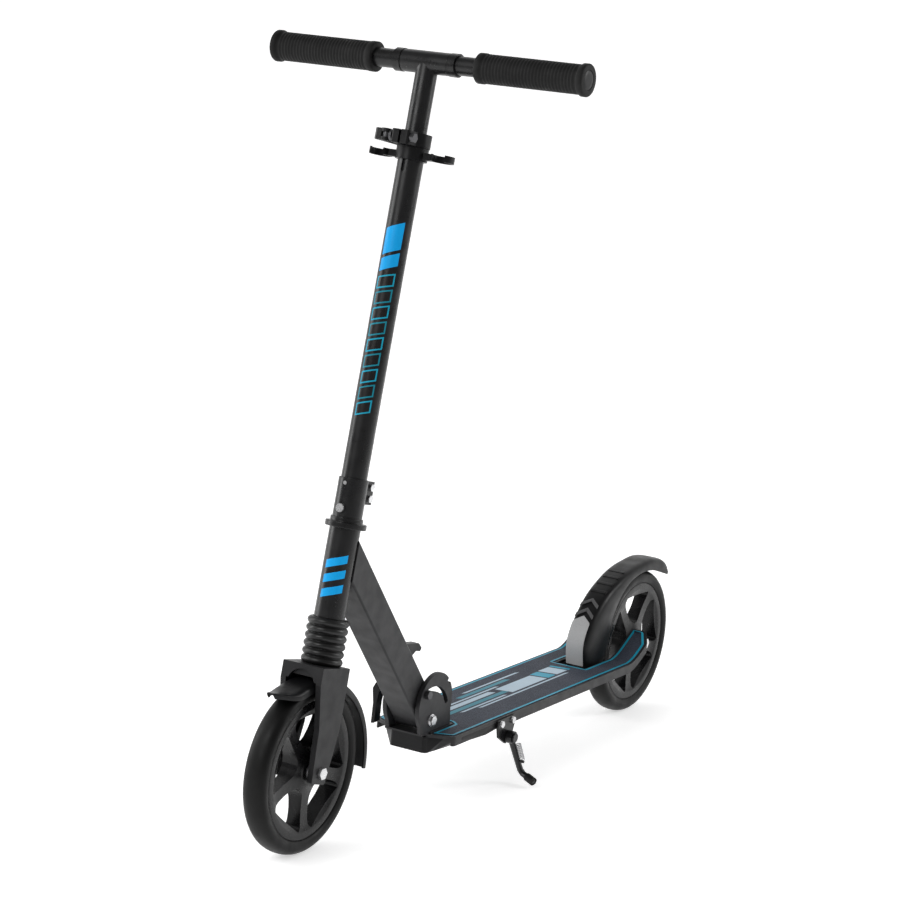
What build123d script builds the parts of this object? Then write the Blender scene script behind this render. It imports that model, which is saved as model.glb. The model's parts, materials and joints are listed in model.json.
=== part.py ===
"""Folding two-wheel kick scooter with a sprung fork, a telescopic T-bar and a side stand.

Frame: +Z up, -Y forward, +X to the rider's left. The origin is on the floor, in the
mid-plane, halfway between the two axles. All sizes are in millimetres.
"""
from build123d import *
import os
from math import atan2, cos, hypot, radians, sin

os.makedirs("parts", exist_ok=True)

# ---------------------------------------------------------------- overall sizes
WHEEL_RADIUS = 100.0
WHEELBASE = 815.0
STEER_TILT = 11.0
FORK_OFFSET = 3.6
HANDLE_WIDTH = 414.0
DECK_WIDTH = 112.0
DECK_TOP = 94.0
RUN = 0.3
FIT = 0.05

# ---------------------------------------------------------------- wheels
TYRE_WIDTH = 30.0
TYRE_DEPTH = 18.0
RIM_WIDTH = 25.0
SPOKES = 5
SPOKE_WIDTH = 15.0
HUB_RADIUS = 17.0
HUB_WIDTH = 30.0
AXLE_RADIUS = 4.0
BEARING_RADIUS = 11.0
BEARING_WIDTH = 7.0
LEG_GAP = 20.5
LEG_WALL = 7.0

# ---------------------------------------------------------------- fork and suspension
FENDER_CLEAR = 4.5
FENDER_WALL = 2.5
FENDER_PLAY = 0.9
CROWN_HEIGHT = 13.0
CROWN_FRONT = 37.0
CROWN_REAR = 20.0
BELLOWS_HEIGHT = 54.0
BELLOWS_RADIUS = 24.5
BELLOWS_WALL = 1.6
BELLOWS_RIBS = 6
SUSPENSION_TRAVEL = 12.0
ROD_RADIUS = 11.0
SPRING_GAP = 32.0
SPRING_WIRE = 1.4

# ---------------------------------------------------------------- head tube and column
HEAD_RADIUS = 18.0
HEAD_LENGTH = 104.0
HEAD_WALL = 2.0
STEERER_RADIUS = 14.0
HEADSET_HEIGHT = 8.0
FLANGE_RADIUS = 24.0
FLANGE_HEIGHT = 12.0
COLLAR_HEIGHT = 45.0
COLLAR_WALL = 2.2
COLUMN_RADIUS = 15.0
COLUMN_WALL = 2.0
COLUMN_LENGTH = 443.0
CLAMP_HEIGHT = 16.0
CLAMP_WALL = 4.5
CLIP_HEIGHT = 15.0
CLIP_REACH = 41.0
EAR_REACH = 27.0
CAM_X = 21.5
CAM_RADIUS = 6.2
CAM_SLOT = 6.2
LEVER_LENGTH = 44.0

# ---------------------------------------------------------------- T-bar and handles
BAR_RISE = 82.0
STEM_RADIUS = 12.7
STEM_WALL = 2.0
STEM_INSERT = 200.0
SLEEVE_RADIUS = 13.0
SLEEVE_HALF = 41.0
SLEEVE_RING = 10.0
TUBE_RADIUS = 11.0
TUBE_WALL = 1.8
GRIP_RADIUS = 17.0
GRIP_START = 68.0
GRIP_FLANGE = 1.7

# ---------------------------------------------------------------- deck and rail
DECK_FRONT = 238.0
DECK_PLATE = 4.0
DECK_SKIRT = 12.0
SKIRT_WALL = 4.0
RAIL_WALL = 6.0
RAIL_DEPTH = 24.0
RAIL_FLOOR = 4.0
SLOT_HALF = 22.0
TAPE_THICK = 0.8
TAPE_MARGIN = 3.0
HORN_RISE = 31.0
HORN_END = 29.0

# ---------------------------------------------------------------- folding joint
PIVOT_BACK = 243.0
PIVOT_HEIGHT = 17.0
PIVOT_RADIUS = 5.0
DISC_RADIUS = 39.0
BRACKET_GAP = 20.0
BRACKET_WALL = 6.0
BASE_THICK = 2.0
LOCK_RADIUS = 3.0
LOCK_ARM = 38.0
LOCK_ANGLE = 113.0
FOLD_ANGLE = 86.0
DOWN_WIDTH = 38.0
DOWN_DEPTH = 38.5
DOWN_WALL = 3.0
TUBE_END = 9.0
KNUCKLE_RADIUS = 13.4
FOLD_CAM_RADIUS = 6.0
FOLD_CAM_SLOT = 6.0
FOLD_LEVER_LENGTH = 50.0

# ---------------------------------------------------------------- rear fender and stand
FENDER_HALF = 19.0
FENDER_SIDE = 2.5
FENDER_TOP = 3.0
FENDER_PIN = 4.0
STAND_BACK = 380.0
STAND_DROP = 26.0
STAND_X = 64.0
STAND_ROD = 4.0
STAND_SPRING_RADIUS = 2.9
STAND_SPRING_WIRE = 0.75
STAND_SPRING_TURNS = 9

# ---------------------------------------------------------------- worked-out places
FRONT_Y = -WHEELBASE / 2
REAR_Y = WHEELBASE / 2
TILT = radians(STEER_TILT)
STEER = Location(
    (0, FRONT_Y + FORK_OFFSET * cos(TILT), WHEEL_RADIUS - FORK_OFFSET * sin(TILT)),
    (-STEER_TILT, 0, 0),
)
CROWN_UNDER = WHEEL_RADIUS + FENDER_CLEAR + FENDER_WALL + FENDER_PLAY
CROWN_TOP = CROWN_UNDER + CROWN_HEIGHT
STEERER_BOTTOM = CROWN_TOP + SPRING_GAP
HEAD_BOTTOM = CROWN_TOP + BELLOWS_HEIGHT
HEAD_TOP = HEAD_BOTTOM + HEAD_LENGTH
FLANGE_TOP = HEAD_TOP + RUN + FLANGE_HEIGHT
COLLAR_TOP = FLANGE_TOP + COLLAR_HEIGHT
COLUMN_TOP = FLANGE_TOP + COLUMN_LENGTH
CLIP_BOTTOM = COLUMN_TOP - CLAMP_HEIGHT - CLIP_HEIGHT
COLUMN_BORE = COLUMN_RADIUS - COLUMN_WALL
BAR_LEVEL = COLUMN_TOP + BAR_RISE
SLEEVE_BORE = TUBE_RADIUS + RUN
HANDLE_HALF = HANDLE_WIDTH / 2
DECK_HALF = DECK_WIDTH / 2
RAIL_HALF = LEG_GAP + RAIL_WALL
RAIL_BOTTOM = DECK_TOP - RAIL_DEPTH
DECK_UNDER = DECK_TOP - DECK_PLATE
SKIRT_BOTTOM = DECK_TOP - DECK_SKIRT
TYRE_FRONT = WHEELBASE - WHEEL_RADIUS
SLOT_START = TYRE_FRONT - 65.0
HORN_START = TYRE_FRONT - 5.0
HORN_TIP = WHEELBASE - HORN_END
PIVOT_Z = DECK_TOP + PIVOT_HEIGHT
PIVOT = (PIVOT_BACK, PIVOT_Z)
LOCK = (
    PIVOT_BACK + LOCK_ARM * cos(radians(LOCK_ANGLE)),
    PIVOT_Z + LOCK_ARM * sin(radians(LOCK_ANGLE)),
)
BRACKET_OUT = BRACKET_GAP + BRACKET_WALL
FOLD_CAM_X = BRACKET_OUT + 10.5
FENDER_PIVOT = (TYRE_FRONT - 32.0, DECK_UNDER - 7.0)
STAND_PIVOT = (STAND_BACK, DECK_TOP - STAND_DROP)


# ---------------------------------------------------------------- shape helpers
ON_END = (Align.CENTER, Align.CENTER, Align.MIN)


def box(low, high):
    """A box between two corners."""
    size = [b - a for a, b in zip(low, high)]
    return Pos(*low) * Box(*size, align=(Align.MIN,) * 3)


def side_plane(x, origin=(FRONT_Y, 0.0)):
    """A plane facing +X, whose first axis runs rearward and whose second runs up."""
    return Plane(origin=(x, *origin), x_dir=(0, 1, 0), z_dir=(1, 0, 0))


def prism(plane, face, amount):
    """A face on a plane, extruded along the plane's normal whichever way the face runs."""
    return extrude(plane * face, amount=amount, dir=plane.z_dir)


def side_prism(face, x0, x1, origin=(FRONT_Y, 0.0)):
    """A side-view face, drawn behind the front axle and above the floor, from x0 to x1."""
    return prism(side_plane(x0, origin), face, x1 - x0)


def outline(points, radius=0.0):
    """A closed outline through the points, with its corners rounded."""
    face = Polygon(*points, align=None)
    if radius:
        face = fillet(face.vertices(), radius)
    return face


def disc_x(radius, x0, x1, y, z):
    """A round bar along X."""
    return Location((x0, y, z), (0, 90, 0)) * Cylinder(radius, x1 - x0, align=ON_END)


def disc_z(radius, z0, z1, x=0.0, y=0.0):
    """A round bar along Z."""
    return Pos(x, y, z0) * Cylinder(radius, z1 - z0, align=ON_END)


def disc_y(radius, y0, y1, x, z):
    """A round bar along Y."""
    return Location((x, y0, z), (-90, 0, 0)) * Cylinder(radius, y1 - y0, align=ON_END)


def hex_x(across, x0, x1, y, z):
    """A hexagon bar along X, by its width across flats."""
    face = RegularPolygon(across / 2, 6, major_radius=False)
    return prism(Plane(origin=(x0, y, z), x_dir=(0, 1, 0), z_dir=(1, 0, 0)), face, x1 - x0)


def ring_x(outer, inner, x0, x1, y, z):
    """A ring along X."""
    return disc_x(outer, x0, x1, y, z) - disc_x(inner, x0 - 1, x1 + 1, y, z)


def ring_z(outer, inner, z0, z1, x=0.0, y=0.0):
    """A ring along Z."""
    return disc_z(outer, z0, z1, x, y) - disc_z(inner, z0 - 1, z1 + 1, x, y)


def rod(points, radius):
    """A round rod that bends at each point."""
    shape = Pos(*points[0]) * Sphere(radius)
    for start, end in zip(points, points[1:]):
        way = Vector(*end) - Vector(*start)
        plane = Plane(origin=start, z_dir=way)
        shape += prism(plane, Circle(radius), way.length)
        shape += Pos(*end) * Sphere(radius)
    return shape


def coil(radius, wire, height, turns):
    """An open coil of round wire, standing on the XY plane."""
    path = Helix(pitch=height / turns, height=height, radius=radius)
    start = Plane(origin=path @ 0, z_dir=path % 0)
    return sweep(start * Circle(wire), path=path)


def mirror_pair(shape):
    """The shape and its mirror image across the mid-plane."""
    return [shape, mirror(shape, about=Plane.YZ)]


def group(shapes):
    """Separate solids kept as one node."""
    return Compound(children=[solid for shape in shapes for solid in shape.solids()])


def save(name, shape):
    """Write one node."""
    export_step(shape, f"parts/{name}.step")


def behind(distance):
    """The Y of a place that far behind the front axle."""
    return FRONT_Y + distance


# ---------------------------------------------------------------- wheels
def tyre():
    """A solid tyre with a rounded tread, about the X axis."""
    half = TYRE_WIDTH / 2
    seat = WHEEL_RADIUS - TYRE_DEPTH
    points = [
        (-RIM_WIDTH / 2, seat),
        (RIM_WIDTH / 2, seat),
        (half, seat + 4),
        (half, WHEEL_RADIUS - 7),
        (half * 0.55, WHEEL_RADIUS),
        (-half * 0.55, WHEEL_RADIUS),
        (-half, WHEEL_RADIUS - 7),
        (-half, seat + 4),
    ]
    face = Polygon(*points, align=None)
    tread = [v for v in face.vertices() if v.Y > WHEEL_RADIUS - 8]
    return revolve(fillet(tread, 4.5), axis=Axis.X)


def window(index):
    """One opening between two spokes, in polar steps about the axle."""
    middle = 360 / SPOKES * (index + 0.5)
    outer = WHEEL_RADIUS - TYRE_DEPTH - 9
    inner = HUB_RADIUS + 10
    corners = [(inner, -15), (inner, 15), (outer - 3, 27), (outer, 0), (outer - 3, -27)]
    points = [(r * cos(radians(middle + a)), r * sin(radians(middle + a))) for r, a in corners]
    return outline(points, 4.0)


def rim():
    """A five-spoke rim, about the X axis."""
    seat = WHEEL_RADIUS - TYRE_DEPTH
    half = RIM_WIDTH / 2
    right = [(4, seat - 10), (half, seat - 7), (half, seat)]
    well = [(-x, r) for x, r in reversed(right)] + right
    body = revolve(Polygon(*well, align=None), axis=Axis.X)
    plate = disc_x(seat - 5, -SPOKE_WIDTH / 2, SPOKE_WIDTH / 2, 0, 0)
    for index in range(SPOKES):
        plate -= side_prism(window(index), -RIM_WIDTH, RIM_WIDTH, (0.0, 0.0))
    body += plate
    body += disc_x(HUB_RADIUS, -HUB_WIDTH / 2, HUB_WIDTH / 2, 0, 0)
    body -= disc_x(AXLE_RADIUS + 2, -HUB_WIDTH, HUB_WIDTH, 0, 0)
    for side in (-1, 1):
        face = side * HUB_WIDTH / 2
        inner = face - side * BEARING_WIDTH
        body -= disc_x(BEARING_RADIUS, min(face, inner), max(face, inner), 0, 0)
    return body


def bearing_pair():
    """The two hub bearings, about the X axis."""
    start = HUB_WIDTH / 2 - BEARING_WIDTH
    return mirror_pair(ring_x(BEARING_RADIUS, AXLE_RADIUS + FIT, start, HUB_WIDTH / 2, 0, 0))


def axle_bolt():
    """A through bolt with a domed hexagon head and a nut, about the X axis."""
    face = LEG_GAP + LEG_WALL
    shape = disc_x(AXLE_RADIUS, -face - 6, face + 1, 0, 0)
    shape += hex_x(13, face, face + 4.5, 0, 0)
    shape += hex_x(13, -face - 5, -face, 0, 0)
    return shape


def spacer_pair():
    """The sleeves between the hub bearings and the legs."""
    start = HUB_WIDTH / 2 + RUN
    return mirror_pair(ring_x(AXLE_RADIUS + 2.5, AXLE_RADIUS, start, LEG_GAP, 0, 0))


def save_wheel(name, place):
    """Write the tyre, rim, bearings, bolt and spacers of one wheel."""
    save(f"{name}_tyre", place * tyre())
    save(f"{name}_rim", place * rim())
    save(f"{name}_hub_bearings", group([place * s for s in bearing_pair()]))
    save(f"{name}_axle_bolt", place * axle_bolt())
    save(f"{name}_axle_spacers", group([place * s for s in spacer_pair()]))


# ---------------------------------------------------------------- fork
def leg_outline():
    """Side view of a fork leg in the steering frame."""
    points = [
        (-CROWN_FRONT, CROWN_TOP),
        (-CROWN_FRONT, CROWN_TOP - 20),
        (-FORK_OFFSET - 20, WHEEL_RADIUS * 0.5),
        (-FORK_OFFSET - 16, -12),
        (-FORK_OFFSET + 12, -14),
        (CROWN_REAR + 1, WHEEL_RADIUS * 0.5),
        (CROWN_REAR, CROWN_TOP),
    ]
    return outline(points, 3.0)


def fork():
    """Crown and two legs in one casting, in the steering frame."""
    out = LEG_GAP + LEG_WALL
    leg = side_prism(leg_outline(), LEG_GAP, out, (0.0, 0.0))
    recess = [
        (-CROWN_FRONT + 7, CROWN_TOP - 22),
        (-FORK_OFFSET - 12, WHEEL_RADIUS * 0.5),
        (-FORK_OFFSET - 8, 20),
        (-FORK_OFFSET + 7, 20),
        (CROWN_REAR - 6, WHEEL_RADIUS * 0.5),
        (CROWN_REAR - 7, CROWN_TOP - 22),
    ]
    leg -= side_prism(outline(recess, 3.0), LEG_GAP - 1, LEG_GAP + 3, (0.0, 0.0))
    leg -= disc_x(AXLE_RADIUS, 0, out + 1, -FORK_OFFSET, 0)
    crown = box((-out, -CROWN_FRONT + 4, CROWN_UNDER), (out, CROWN_REAR, CROWN_TOP))
    wall = box((-out, -CROWN_FRONT, CROWN_TOP - 18), (out, -CROWN_FRONT + 5, CROWN_TOP))
    wall -= disc_y(LEG_GAP - 2, -CROWN_FRONT - 1, -CROWN_FRONT + 6, 0, CROWN_UNDER - 11)
    body = crown + wall + leg + mirror(leg, about=Plane.YZ)
    body -= disc_z(2, CROWN_UNDER - 1, CROWN_TOP + 1, 0, -FORK_OFFSET)
    return body


def suspension_rod():
    """The sliding rod on the crown, in the steering frame."""
    shape = disc_z(ROD_RADIUS, CROWN_TOP, HEAD_BOTTOM + 60)
    return shape - disc_z(ROD_RADIUS - 3, CROWN_TOP - 1, HEAD_BOTTOM + 50)


def polar(points, radius):
    """Points given as (degrees from rearward, distance outside the tyre)."""
    return [((radius + c) * cos(radians(a)), (radius + c) * sin(radians(a))) for a, c in points]


def band(outer, inner):
    """A face between two smooth curves."""
    edges = [
        Spline(*outer),
        Line(outer[-1], inner[0]),
        Spline(*inner),
        Line(inner[-1], outer[0]),
    ]
    return make_face(edges)


def front_fender():
    """A short mudguard over the front wheel with a flared lip, about the front axle."""
    top = FENDER_CLEAR + FENDER_WALL
    skin = [(-11, 19), (20, 15), (55, 9), (87, top), (108, top + 1), (118, 14), (126, 30)]
    inside = [(a, c - FENDER_WALL) for a, c in skin]
    edge = [(126, 20), (117, 4), (108, -3), (87, -4), (55, -2), (20, 3), (-11, 7)]
    outer = polar(skin, WHEEL_RADIUS)
    inner = polar(edge, WHEEL_RADIUS)
    cavity = polar(inside, WHEEL_RADIUS)
    inside = [(130, -8), (117, -12), (108, -14), (87, -16), (55, -14), (20, -12), (-14, -8)]
    deep = polar(inside, WHEEL_RADIUS)
    half = LEG_GAP - 1.0
    shell = side_prism(band(outer, inner), -half, half, (0.0, 0.0))
    hollow = side_prism(band(cavity, deep), -half + 2, half - 2, (0.0, 0.0))
    shell = shell - hollow
    return Pos(0, FRONT_Y, WHEEL_RADIUS) * shell


def bellows():
    """The ribbed dust boot, in the steering frame."""
    low = CROWN_TOP + RUN
    height = BELLOWS_HEIGHT - 2 * RUN
    step = height / (2 * BELLOWS_RIBS + 1)
    outer = []
    for index in range(2 * BELLOWS_RIBS + 2):
        radius = BELLOWS_RADIUS if index % 2 else BELLOWS_RADIUS - 3.2
        outer.append((radius, low + index * step))
    inner = [(r - BELLOWS_WALL - 0.6, z) for r, z in reversed(outer)]
    face = Polygon(*outer, *inner, align=None)
    return revolve(Plane.XZ * face, axis=Axis.Z)


def suspension_spring():
    """The coil between the crown and the steerer tube, in the steering frame."""
    height = SPRING_GAP - 2 * SPRING_WIRE - 0.4
    shape = coil(ROD_RADIUS + 2.3, SPRING_WIRE, height, 6)
    return Pos(0, 0, CROWN_TOP + SPRING_WIRE + 0.2) * shape


# ---------------------------------------------------------------- steering column
def steerer_tube():
    """The tube that turns in the head tube, with a plug that fills the column's foot."""
    shape = disc_z(STEERER_RADIUS, STEERER_BOTTOM, FLANGE_TOP)
    shape += disc_z(COLUMN_BORE, FLANGE_TOP, COLLAR_TOP)
    return shape - disc_z(ROD_RADIUS + RUN, STEERER_BOTTOM - 1, HEAD_BOTTOM + 62 + SUSPENSION_TRAVEL + 4)


def headset_flange():
    """The round flange above the head tube."""
    shape = ring_z(FLANGE_RADIUS, STEERER_RADIUS, HEAD_TOP + RUN, HEAD_TOP + RUN + FLANGE_HEIGHT * 0.55)
    shape += ring_z(FLANGE_RADIUS - 5, STEERER_RADIUS, HEAD_TOP + RUN, FLANGE_TOP)
    return shape


def lower_collar():
    """The pinch collar around the column's foot, with two rear ears."""
    out = COLUMN_RADIUS + COLLAR_WALL
    shape = disc_z(out, FLANGE_TOP, COLLAR_TOP)
    shape += box((-9, 0, COLLAR_TOP - 28), (9, out + 15, COLLAR_TOP - 1))
    shape -= disc_z(COLUMN_RADIUS, FLANGE_TOP - 1, COLLAR_TOP + 1)
    shape -= box((-1.2, 0, FLANGE_TOP - 1), (1.2, out + 20, COLLAR_TOP + 1))
    for level in collar_bolt_levels():
        shape -= disc_x(2.5, -12, 12, out + 8, level)
    shape += disc_y(6, -out - 1.2, -COLUMN_RADIUS - 1, 0, FLANGE_TOP + 10)
    return shape - disc_z(COLUMN_RADIUS, FLANGE_TOP - 1, COLLAR_TOP + 1)


def collar_bolt_levels():
    """Heights of the two pinch bolts."""
    return (COLLAR_TOP - 21, COLLAR_TOP - 8)


def collar_bolts():
    """Two pinch bolts across the rear ears, and two front studs."""
    y = COLUMN_RADIUS + COLLAR_WALL + 8
    shapes = []
    for level in collar_bolt_levels():
        bolt = disc_x(2.5, -9, 9, y, level)
        bolt += disc_x(4.2, 9, 12, y, level)
        bolt += hex_x(7, -12, -9, y, level)
        shapes.append(bolt)
    front = -COLUMN_RADIUS - COLLAR_WALL
    shapes.append(disc_y(5, front - 3.2, front - 1.2, 0, FLANGE_TOP + 10))
    shapes.append(disc_y(2.2, front - 1, front, 0, COLLAR_TOP - 6))
    return group(shapes)


def column_tube():
    """The outer column, with a relief slit at its clamped top."""
    shape = ring_z(COLUMN_RADIUS, COLUMN_BORE, FLANGE_TOP, COLUMN_TOP)
    slit = box((-2.3, -COLUMN_RADIUS - 1, CLIP_BOTTOM - 12), (2.3, 0, COLUMN_TOP + 1))
    slit += disc_y(2.3, -COLUMN_RADIUS - 1, 0, 0, CLIP_BOTTOM - 12)
    return shape - slit


def clamp_collar():
    """The split collar that the quick-release lever closes."""
    low = COLUMN_TOP - CLAMP_HEIGHT + RUN
    out = COLUMN_RADIUS + CLAMP_WALL
    shape = disc_z(out, low, COLUMN_TOP)
    shape += box((-12, -EAR_REACH - 7, low), (12, 0, COLUMN_TOP))
    shape -= disc_z(COLUMN_RADIUS, low - 1, COLUMN_TOP + 1)
    shape -= box((-1.5, -EAR_REACH - 8, low - 1), (1.5, 0, COLUMN_TOP + 1))
    shape -= disc_x(2.8, -13, 13, -EAR_REACH, clamp_level())
    edges = [e for e in shape.edges() if e.length > CLAMP_HEIGHT - 2 and e.center().Y < -EAR_REACH - 5]
    outer = [e for e in edges if abs(e.center().X) > 10]
    return fillet(outer, 4.0)


def clamp_level():
    """Height of the clamp's skewer."""
    return COLUMN_TOP - CLAMP_HEIGHT / 2 + RUN / 2


def clamp_skewer():
    """The skewer of the clamp, with its nut, cupped washer, eye and cross pin."""
    z = clamp_level()
    y = -EAR_REACH
    shape = disc_x(2.8, -CAM_X, 13, y, z)
    shape += hex_x(10, 12, 17, y, z)
    shape += ring_x(6.5, 2.8, -CAM_X + CAM_RADIUS + RUN, -12, y, z)
    shape += disc_z(4.5, z - CAM_SLOT / 2 + RUN, z + CAM_SLOT / 2 - RUN, -CAM_X, y)
    shape += disc_z(2, z - 7.5, z + 7.5, -CAM_X, y)
    return shape


def clamp_lever():
    """The quick-release lever, wrapped back along the column's right side."""
    z = clamp_level()
    y = -EAR_REACH
    cheeks = disc_z(CAM_RADIUS, z - 7, z + 7, -CAM_X, y)
    arm = [
        (-CAM_X - 1, y - 5),
        (-CAM_X - 9, y - 6.5),
        (-CAM_X - 15, y - 1),
        (-CAM_X - 12, y + 14),
        (-CAM_X - 8, y + LEVER_LENGTH),
        (-CAM_X - 4, y + LEVER_LENGTH - 1),
        (-CAM_X - 7.5, y + 14),
        (-CAM_X - 8, y + 4),
    ]
    blade = prism(Plane.XY.offset(z - 6.5), outline(arm, 1.2), 13)
    shape = cheeks + blade
    shape -= disc_z(CAM_RADIUS + 0.6, z - CAM_SLOT / 2, z + CAM_SLOT / 2, -CAM_X, y)
    shape -= disc_z(2 + FIT, z - 8, z + 8, -CAM_X, y)
    shape -= disc_z(4.2, z - 10, z + 10, -CAM_X - 17.5, y - 2)
    return shape


def clip_ring():
    """A ring below the clamp with a C-shaped holder on each side for a loose handle."""
    top = COLUMN_TOP - CLAMP_HEIGHT
    out = COLUMN_RADIUS + 3.6
    shape = disc_z(out, CLIP_BOTTOM, top)
    for side in (-1, 1):
        x = side * CLIP_REACH
        shape += box((min(0, x * 0.7), -5, CLIP_BOTTOM + 2), (max(0, x * 0.7), 5, CLIP_BOTTOM + 10))
        shape += disc_z(TUBE_RADIUS + 2.8, CLIP_BOTTOM + 2, CLIP_BOTTOM + 10, x, 0)
    for side in (-1, 1):
        x = side * CLIP_REACH
        shape -= disc_z(TUBE_RADIUS + 0.2, CLIP_BOTTOM, top, x, 0)
        shape -= box((x - 8.5, -TUBE_RADIUS - 6, CLIP_BOTTOM), (x + 8.5, 0, top))
    shape += disc_z(out, CLIP_BOTTOM, top)
    return shape - disc_z(COLUMN_RADIUS, CLIP_BOTTOM - 1, top + 1)


# ---------------------------------------------------------------- T-bar
def stem_tube():
    """The telescopic stem under the crossbar."""
    shape = ring_z(STEM_RADIUS, STEM_RADIUS - STEM_WALL, COLUMN_TOP - STEM_INSERT, BAR_LEVEL)
    return shape - disc_x(SLEEVE_RADIUS, -40, 40, 0, BAR_LEVEL)


def bar_sleeve():
    """The crossbar's centre sleeve."""
    half = SLEEVE_HALF - SLEEVE_RING
    return ring_x(SLEEVE_RADIUS, SLEEVE_BORE, -half, half, 0, BAR_LEVEL)


def sleeve_ring():
    """The collar at one end of the sleeve."""
    start = SLEEVE_HALF - SLEEVE_RING
    ring = ring_x(SLEEVE_RADIUS + 0.5, SLEEVE_BORE, start + 0.6, SLEEVE_HALF, 0, BAR_LEVEL)
    return ring + ring_x(SLEEVE_RADIUS - 0.6, SLEEVE_BORE, start, start + 0.6, 0, BAR_LEVEL)


def handle_tube():
    """The left handle's tube, which pulls out of the sleeve."""
    return ring_x(TUBE_RADIUS, TUBE_RADIUS - TUBE_WALL, 3, HANDLE_HALF - 5, 0, BAR_LEVEL)


def grip():
    """The left rubber grip, with a collar at its inner end and a flange at its outer end."""
    end = HANDLE_HALF - 1.5
    shape = disc_x(GRIP_RADIUS, GRIP_START, end, 0, BAR_LEVEL)
    shape += disc_x(GRIP_RADIUS + 0.7, GRIP_START, GRIP_START + 9, 0, BAR_LEVEL)
    shape += disc_x(GRIP_RADIUS + GRIP_FLANGE, end - 7, end, 0, BAR_LEVEL)
    rims = [e for e in shape.edges() if e.geom_type == GeomType.CIRCLE and e.radius > GRIP_RADIUS + 0.5]
    shape = fillet(rims, 0.6)
    return shape - disc_x(TUBE_RADIUS, GRIP_START - 1, end + 1, 0, BAR_LEVEL)


def end_plug():
    """The plug that closes the left handle's end."""
    end = HANDLE_HALF - 1.5
    shape = disc_x(GRIP_RADIUS - 3, end, HANDLE_HALF, 0, BAR_LEVEL)
    shape += disc_x(TUBE_RADIUS, HANDLE_HALF - 5, end, 0, BAR_LEVEL)
    return shape + disc_x(TUBE_RADIUS - TUBE_WALL, end - 14, end, 0, BAR_LEVEL)


# ---------------------------------------------------------------- front frame
def steer_point(offset, level):
    """A place in the steering frame, as distance behind the front axle and height."""
    y = FORK_OFFSET * cos(TILT) + offset * cos(TILT) + level * sin(TILT)
    z = WHEEL_RADIUS - FORK_OFFSET * sin(TILT) - offset * sin(TILT) + level * cos(TILT)
    return y, z


DOWN_TOP = steer_point(0.0, HEAD_BOTTOM + 65)
SPAN = hypot(PIVOT[0] - DOWN_TOP[0], PIVOT[1] - DOWN_TOP[1])
SLOPE = atan2(DOWN_TOP[1] - PIVOT[1], DOWN_TOP[0] - PIVOT[0])
ALONG = (cos(SLOPE), sin(SLOPE))
ACROSS = (ALONG[1], -ALONG[0])


def down_point(along, across):
    """A place by distance from the fold pivot along the down tube, and toward its rear face."""
    y = PIVOT[0] + along * ALONG[0] + across * ACROSS[0]
    z = PIVOT[1] + along * ALONG[1] + across * ACROSS[1]
    return y, z


REAR_FACE = DOWN_DEPTH - KNUCKLE_RADIUS
FRONT_FACE = -KNUCKLE_RADIUS


def head_tube():
    """The tube that the steerer turns in."""
    return ring_z(HEAD_RADIUS, HEAD_RADIUS - HEAD_WALL, HEAD_BOTTOM, HEAD_TOP)


def headset_bearings():
    """The two bearings pressed into the head tube."""
    rings = []
    for low in (HEAD_BOTTOM + 2, HEAD_TOP - 2 - HEADSET_HEIGHT):
        rings.append(ring_z(HEAD_RADIUS - HEAD_WALL, STEERER_RADIUS + FIT, low, low + HEADSET_HEIGHT))
    return group(rings)


def down_tube():
    """The box beam from the head tube to the fold joint."""
    half = DOWN_WIDTH / 2
    corners = [
        down_point(TUBE_END, FRONT_FACE),
        down_point(SPAN + 20, FRONT_FACE),
        down_point(SPAN + 20, REAR_FACE),
        down_point(TUBE_END, REAR_FACE),
    ]
    shape = side_prism(Polygon(*corners, align=None), -half, half)
    long_edges = [e for e in shape.edges() if e.length > SPAN * 0.8]
    shape = fillet(long_edges, 2.5)
    wall = DOWN_WALL
    hollow = [
        down_point(TUBE_END - 1, FRONT_FACE + wall),
        down_point(SPAN - 8, FRONT_FACE + wall),
        down_point(SPAN - 8, REAR_FACE - wall),
        down_point(TUBE_END - 1, REAR_FACE - wall),
    ]
    shape -= side_prism(Polygon(*hollow, align=None), -half + wall, half - wall)
    shape -= STEER * disc_z(HEAD_RADIUS, 0, COLUMN_TOP)
    shape -= STEER * box((-half - 1, -HEAD_RADIUS * 4, 0), (half + 1, HEAD_RADIUS * 0.3, COLUMN_TOP))
    shape -= side_prism(Pos(*PIVOT) * Circle(KNUCKLE_RADIUS), -half - 1, half + 1)
    shape -= side_prism(lock_hole(LOCK_RADIUS), -half - 1, half + 1)
    return max(shape.solids(), key=lambda solid: solid.volume)


def lock_hole(radius):
    """A round hole face at the lock skewer."""
    return Pos(LOCK[0], LOCK[1]) * Circle(radius)


def fold_knuckle():
    """The solid end of the down tube, turning between the fold brackets."""
    half = DOWN_WIDTH / 2 - DOWN_WALL
    body = [
        down_point(0, FRONT_FACE),
        down_point(TUBE_END, FRONT_FACE),
        down_point(TUBE_END, REAR_FACE - 4),
        down_point(0, KNUCKLE_RADIUS),
    ]
    wide = DOWN_WIDTH / 2
    shape = side_prism(Polygon(*body, align=None), -wide, wide)
    shape += side_prism(Pos(*PIVOT) * Circle(KNUCKLE_RADIUS), -wide, wide)
    plug = [
        down_point(TUBE_END, FRONT_FACE + DOWN_WALL),
        down_point(TUBE_END + 40, FRONT_FACE + DOWN_WALL),
        down_point(TUBE_END + 40, REAR_FACE - DOWN_WALL),
        down_point(TUBE_END, REAR_FACE - DOWN_WALL),
    ]
    shape += side_prism(Polygon(*plug, align=None), -half, half)
    shape -= side_prism(Pos(*PIVOT) * Circle(PIVOT_RADIUS + FIT), -wide - 1, wide + 1)
    return shape - side_prism(lock_hole(LOCK_RADIUS), -wide - 1, wide + 1)


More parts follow.
